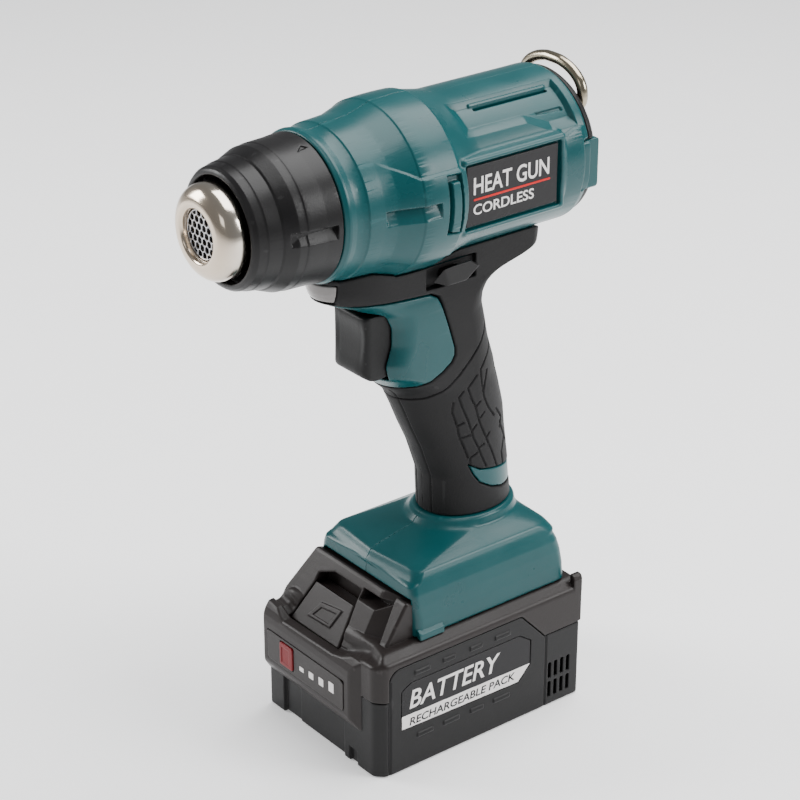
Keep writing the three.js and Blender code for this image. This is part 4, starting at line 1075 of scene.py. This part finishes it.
def pack_upper(x, y, z):
    side = np.abs(y)
    slope = (side - 38) * 0.54 + (z - 52.7) * 0.842
    slab = smax(smax(plan(x, y), slope, 1.6), z - LEDGE_Z, 0.9)
    slab = smax(slab, 30 - z, 0.3)
    slab = smax(slab, -55.2 - x, 1.0)
    floor = np.interp(y, [-38, -31, -25, 9, 15, 21, 27, 38], [50.4, 49.4, 46.2, 46.8, 48.2, 50.8, 52.4, 53])
    reach = np.interp(y, [-32, 24, 31, 38], [0, 0, 2.0, 5.0])
    basin = smax((44 + reach - x) * 0.92 + (68 - z) * 0.2, floor - z, 3.0)
    lip = np.interp(y, [14, 30, 38], [0, 1.2, 2.4])
    slab = cut(slab, basin, 2.2)
    slab = smax(slab, (x - PACK_X) * 0.72 + (z - floor + 1.4 - lip) * 0.69, 1.6)
    tower = box(x, side, z, (-46, 31), (-1, 26), (54, 61.4), 0.5)
    head = box(x, side, z, (-46, 31), (-1, 28.8), (60.7, 70), 0.8)
    far_reach = np.clip(31.5 + (72.4 - z) * 0.37, 31.5, 38.2)
    wedge = rounded(polygon(x, z, RAMP_OUTLINE), np.where(y > 0, y - 30, -y - far_reach) * 0.94, 1.2)
    out = (x - 33.6) * 0.843 + (z - 72.4) * 0.538
    channel = smax(15.2 + (64.4 - z) * 0.07 - y, y - 23.2 - (70 - z) * 0.16, 0.4)
    channel = smax(channel, -(out + 0.4 * np.maximum(y - 15.2, 0)) * 0.92, 0.5)
    wedge = cut(wedge, channel, 0.45)
    deep = smax(smax(between(y, 4.4, 23.2), z - 69.3, 0.6),
                (64.8 + 0.6 * np.maximum(y - 15.3, 0) - z) * 0.85, 0.5)
    deep = smax(deep, -(out + 9), 0.5)
    wedge = cut(wedge, deep, 0.45)
    upper = np.minimum(smin(slab, tower, 1.2), np.minimum(head, wedge))
    upper = cut(upper, latch_space(x, y, z, 0.6), 0.7)
    wall = np.maximum(plan(x, y, PACK_WALL), z - np.where(x > 30, 41.2, 50))
    top_space = box(x, side, z, (-44, 24), (-1, 24), (40, 67.5), 0.6)
    upper = cut(upper, np.minimum(wall, top_space), 0.4)
    lower = smax(side_panel(x, z) - GAP, 34 - side, 0.3)
    lower = np.minimum(lower, np.maximum(z - SEAM_Z - GAP, x - PACK_X - 0.2))
    upper = cut(upper, lower, 0.45)
    back = box(x, side, z, (-55.4, -53), (-1, 38), (SEAM_Z + 0.3, 52.7), 0.7)
    ear = smax(polygon(side, z, EAR), between(x, -55.4, -50.8), 0.6)
    front = smax(polygon(x, z, FASCIA_SIDE), polygon(x, y, FASCIA_PLAN), 0.7)
    front = smax(front, (z - floor - 1.2) * 0.85, 1.2)
    upper = np.minimum.reduce([upper, front, back, ear])
    bay = box(x, side, z, (-60, -24), (-1, 20), (61.5, 90), 0.4)
    upper = cut(upper, bay, 0.4)
    low, high = PANEL_LOW - 0.25, PANEL_HIGH + 0.25
    film = box(x, y, z, (FACE_X - 0.75, 70), (low[1], high[1]), (low[2], high[2]), 0.4)
    upper = cut(upper, film, 0.25)
    upper = cut(upper, button_space(x, y, z), 0.25)
    return cut(upper, pack_screw_space(x, y, z), 0.3)


finished(
    carved("pack_upper_shell", pack_upper, (-55.6, -38.4, 18), (58, 38.4, 73), 0.42, 110000),
    "battery", PACK_GREY, "pack_upper_housing",
)


def latch(x, y, z):
    """A sloping pad with a raised, dished patch, on the post that is pressed down."""
    down = (x - 40.2) * 0.56 - (z - 61.8) * 0.829
    out = (x - 40.2) * 0.829 + (z - 61.8) * 0.56
    left, right = latch_sides(z)
    pad = rounded(polygon(x, z, LATCH_PAD), between(y, left, right) * 0.95, 0.7)
    raised = polygon(y, down, [(-14, 6.1), (-1.1, 4.4), (-3.4, 13.2), (-18.1, 13.8)])
    emboss = smax(smax(raised, out - 0.65, 0.3), -out - 1.5, 0.2)
    dip = polygon(y, down, [(-12.6, 8), (-3.2, 6.8), (-4.9, 12), (-15.4, 12.4)])
    dip = np.maximum(np.maximum(dip, 0.15 - out), -0.9)
    pad = smin(pad, emboss, 0.5)
    pad = cut(pad, dip, 0.4)
    post = box(x, y, z, (33.2, 39), (LATCH_LOW[1], LATCH_HIGH[1]), (50.6, 60.4), 0.8)
    return np.minimum(pad, post)


finished(
    carved("latch_push", latch, LATCH_LOW - (0.1, 5, 0.1), LATCH_HIGH + (0.9, 3.2, 0.9), 0.3, 50000),
    "latch", PACK_GREY, "latch_button",
)


def gauge_film(x, y, z):
    film = rounded(between(y, PANEL_LOW[1], PANEL_HIGH[1]), between(z, PANEL_LOW[2], PANEL_HIGH[2]), 1.1)
    film = smax(film, (y - PANEL_HIGH[1]) * 0.5 + (z - PANEL_HIGH[2]) * 0.86 + 0.9, 0.4)
    film = rounded(film, between(x, PANEL_LOW[0], PANEL_HIGH[0]), 0.12)
    press = rounded(between(y, BUTTON_LOW[1], BUTTON_HIGH[1]) - 0.3,
                    between(z, BUTTON_LOW[2], BUTTON_HIGH[2]) - 0.3, 0.8)
    return cut(film, press, 0.1)


finished(
    carved("gauge_film", gauge_film, PANEL_LOW, PANEL_HIGH, 0.2, 30000),
    "battery", PANEL_GREY, "gauge_panel",
)


def gauge_push(x, y, z):
    body = rounded(rounded(between(y, BUTTON_LOW[1], BUTTON_HIGH[1]),
                           between(z, BUTTON_LOW[2], BUTTON_HIGH[2]), 1.0),
                   between(x, BUTTON_LOW[0], BUTTON_HIGH[0]), 0.35)
    window = polygon(y, z, [(-23.6, 28.9), (-18.6, 28.9), (-18.6, 36.2), (-23.6, 36.2)])
    window = np.maximum(window, BUTTON_HIGH[0] - 0.3 - x)
    return cut(body, window, 0.2)


finished(
    carved("gauge_push", gauge_push, BUTTON_LOW, BUTTON_HIGH, 0.22, 30000),
    "gauge", RED, "gauge_button",
)

# ---------------------------------------------------------------- plates, labels and print

def plated(name, outline, sides, body, material, stands_for, lift=0.14):
    """A thin flat piece with an eased edge, from an outline of (x, z) and its two y planes."""
    low, high = sides
    xs, zs = zip(*outline)

    def field(x, y, z):
        return rounded(polygon(x, z, outline), between(y, low, high), lift)

    return finished(
        carved(name, field, (min(xs), low, min(zs)), (max(xs), high, max(zs)), 0.2, 30000),
        body, material, stands_for,
    )


def printed(name, words, size, across, up, depth, side, material, body, squeeze=1.0, slant=0.0):
    """Raised lettering read from outside, its lower left corner at (across, up) on a side face."""
    curve = bpy.data.curves.new(name, "FONT")
    curve.body, curve.size, curve.extrude, curve.shear = words, size * 1.39, 0.06, slant
    curve.resolution_u = 4
    curve.offset = size * 0.018
    holder = bpy.data.objects.new(name, curve)
    bpy.context.scene.collection.objects.link(holder)
    mesh = bpy.data.meshes.new_from_object(holder.evaluated_get(bpy.context.evaluated_depsgraph_get()))
    bpy.data.objects.remove(holder)
    bpy.data.curves.remove(curve)
    count = len(mesh.vertices)
    flat = np.empty(count * 3, np.float32)
    mesh.vertices.foreach_get("co", flat)
    u, v, w = flat.reshape(-1, 3).T
    u = (u - u.min()) * squeeze
    points = np.stack([across - side * u, side * (depth + w), up + v - v.min()], -1)
    mesh.vertices.foreach_set("co", (points * MM).astype(np.float32).ravel())
    mesh.update()
    obj = bpy.data.objects.new(name, mesh)
    bpy.context.scene.collection.objects.link(obj)
    return finished(obj, body, material, crease=30)


def oblong(xs, zs):
    """The outline of a rectangle between two x and two z."""
    return [(xs[0], zs[0]), (xs[1], zs[0]), (xs[1], zs[1]), (xs[0], zs[1])]


PLATE_X = (float(PLATE_LOW[0]), float(PLATE_HIGH[0]))
PLATE_Z = (float(PLATE_LOW[2]), float(PLATE_HIGH[2]))
PLATE_Y = float(PLATE_HIGH[1])
PRINT_INSET = 3.4
STRIPE_LENGTH = 38.6
STRIPE_Z = PLATE_Z[0] + 10.0
PLATE_LINES = [("HEAT GUN", 7.0, 12.4, 0.8), ("CORDLESS", 4.2, 4.2, 1.1)]
BAND = [(42.4, 19.9), (42.4, 26.2), (-26.6, 25.3), (-20.1, 18.5)]
for word, side in (("left", 1), ("right", -1)):
    sides = sorted((side * float(PLATE_LOW[1]), side * PLATE_Y))
    plated(f"{word}_plate", oblong(PLATE_X, PLATE_Z), sides, "tool", BADGE, f"{word}_name_plate")
    start = PLATE_X[1] - PRINT_INSET if side > 0 else PLATE_X[0] + PRINT_INSET
    for i, (words, size, up, squeeze) in enumerate(PLATE_LINES):
        name = f"{word}_plate_line_{i + 1}"
        printed(name, words, size, start, PLATE_Z[0] + up, PLATE_Y, side, WHITE, "tool", squeeze)
    stripe = oblong(sorted((start, start - side * STRIPE_LENGTH)), (STRIPE_Z, STRIPE_Z + 0.9))
    sides = sorted((side * (PLATE_Y - 0.05), side * (PLATE_Y + 0.1)))
    plated(f"{word}_plate_stripe", stripe, sides, "tool", ORANGE, (), 0.05)

    low, high = span(f"{word}_pack_label")
    sides = (float(low[1]), float(high[1]))
    outer = float(high[1]) if side > 0 else -float(low[1])
    plated(f"{word}_label", LABEL_OUTLINE, sides, "battery", BADGE, f"{word}_pack_label")
    sides = sorted((side * (outer - 0.05), side * (outer + 0.08)))
    plated(f"{word}_label_band", BAND, sides, "battery", WHITE, (), 0.04)
    start = 38.4 if side > 0 else -22.6
    printed(f"{word}_label_title", "BATTERY", 8.6, start, 28.6, outer, side, WHITE, "battery", 0.95, 0.2)
    name, words = f"{word}_label_line", "RECHARGEABLE PACK"
    printed(name, words, 3.6, start, 20.6, outer + 0.1, side, BADGE, "battery", 1.12, 0.15)

# The gauge's level marks as (left, right, foot, top).
for i, (low, high, foot_z, top_z) in enumerate([
    (-11.5, -8.5, 30.3, 32.4), (-5, -1.8, 30.1, 33.2), (1.9, 5.1, 30.2, 33.9), (8.8, 12.2, 30.6, 35.3),
]):
    def mark(x, y, z):
        face = rounded(between(y, low, high), between(z, foot_z, top_z), 0.3)
        return rounded(face, between(x, FACE_X - 0.1, FACE_X + 0.12), 0.05)
    piece = carved(f"gauge_mark_{i + 1}", mark, (FACE_X - 0.1, low, foot_z), (FACE_X + 0.12, high, top_z),
                   0.14, 4000)
    finished(piece, "battery", WHITE)


# ---------------------------------------------------------------- carried-over parts

# Each node takes the finish of the first word here that its name holds.
CAD_LOOKS = [
    ("screw", STEEL), ("collar", COLLAR), ("nozzle", CHROME), ("outlet_grille", STEEL),
    ("heat_shield", STEEL),
    ("mica", MICA), ("heater_cross", MICA), ("heating_coil", WIRE_METAL), ("thermal", CERAMIC),
    ("motor_carrier", BLACK),
    ("fan_motor", STEEL), ("impeller", BLACK), ("shaft", STEEL), ("cap", BLACK), ("ring", RING_STEEL),
    ("trigger_spring", STEEL),
    ("trigger_switch", BLACK), ("trigger", TRIGGER_BLACK), ("shuttle", BLACK), ("lens", LENS),
    ("light_board", GREEN_BOARD),
    ("heat_sink", STEEL), ("board", GREEN_BOARD), ("terminals", COPPER), ("upper", PACK_GREY),
    ("lower", PACK_BLACK),
    ("label", BADGE), ("plate", BADGE), ("holder", BLACK), ("cell", CELL), ("latch", PACK_GREY),
    ("panel", PANEL_GREY),
    ("button", RED), ("housing", TEAL), ("grip", RUBBER),
]
for node_name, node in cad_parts.items():
    look = next((look for word, look in CAD_LOOKS if word in node_name), BLACK)
    node.data.materials.clear()
    node.data.materials.append(look)


# ---------------------------------------------------------------- camera, floor and light

def aimed(obj, eye, target):
    obj.location = Vector(eye)
    obj.rotation_euler = (Vector(target) - Vector(eye)).to_track_quat("-Z", "Y").to_euler()
    bpy.context.scene.collection.objects.link(obj)
    return obj


CAMERA_AT = (0.55288, 0.68222, 0.57054)
CAMERA_AIM = (0.0134, 0.0, 0.1467)
lens = bpy.data.cameras.new("camera")
lens.lens, lens.sensor_width = 108.1, 36
lens.clip_start, lens.clip_end = 0.05, 20
bpy.context.scene.camera = aimed(bpy.data.objects.new("camera", lens), CAMERA_AT, CAMERA_AIM)


LIGHT_AIM = (0.0, 0.0, 0.15)
for name, eye, width, height, power in (
    ("top", (-0.4, 0.05, 1.35), 1.2, 1.2, 34.0), ("left", (0.75, -1.0, 0.7), 0.5, 0.7, 15.0),
    ("right", (-0.75, 0.95, 0.72), 0.5, 0.5, 12.0), ("front", (1.3, 0.6, 0.9), 0.5, 0.5, 1.5),
):
    light = bpy.data.lights.new(name, "AREA")
    light.shape = "RECTANGLE"
    light.size, light.size_y, light.energy = width, height, power
    aimed(bpy.data.objects.new(name, light), eye, LIGHT_AIM)

world = bpy.data.worlds.new("studio")
world.use_nodes = True
world.node_tree.nodes["Background"].inputs["Color"].default_value = (0.93, 0.95, 0.97, 1)
world.node_tree.nodes["Background"].inputs["Strength"].default_value = 0.3
bpy.context.scene.world = world

floor_mesh = bpy.data.meshes.new("floor")
FLOOR_HALF = 6.0
FLOOR_DROP = 0.0002
corners = [(x, y, 0) for x, y in oblong((-FLOOR_HALF, FLOOR_HALF), (-FLOOR_HALF, FLOOR_HALF))]
floor_mesh.from_pydata(corners, [], [(0, 1, 2, 3)])
floor = bpy.data.objects.new("floor", floor_mesh)
floor.location.z = float(cad_low[2]) - FLOOR_DROP
bpy.context.scene.collection.objects.link(floor)
paper = Nodes("paper")
paper.set(Base_Color=paper.mix(paper.noise(30.0), srgb(250, 250, 250), srgb(246, 246, 247)), Roughness=0.9)
paper.set(Emission_Color=(1.0, 1.0, 1.0, 1.0), Emission_Strength=0.3)
floor_mesh.materials.append(paper.material)
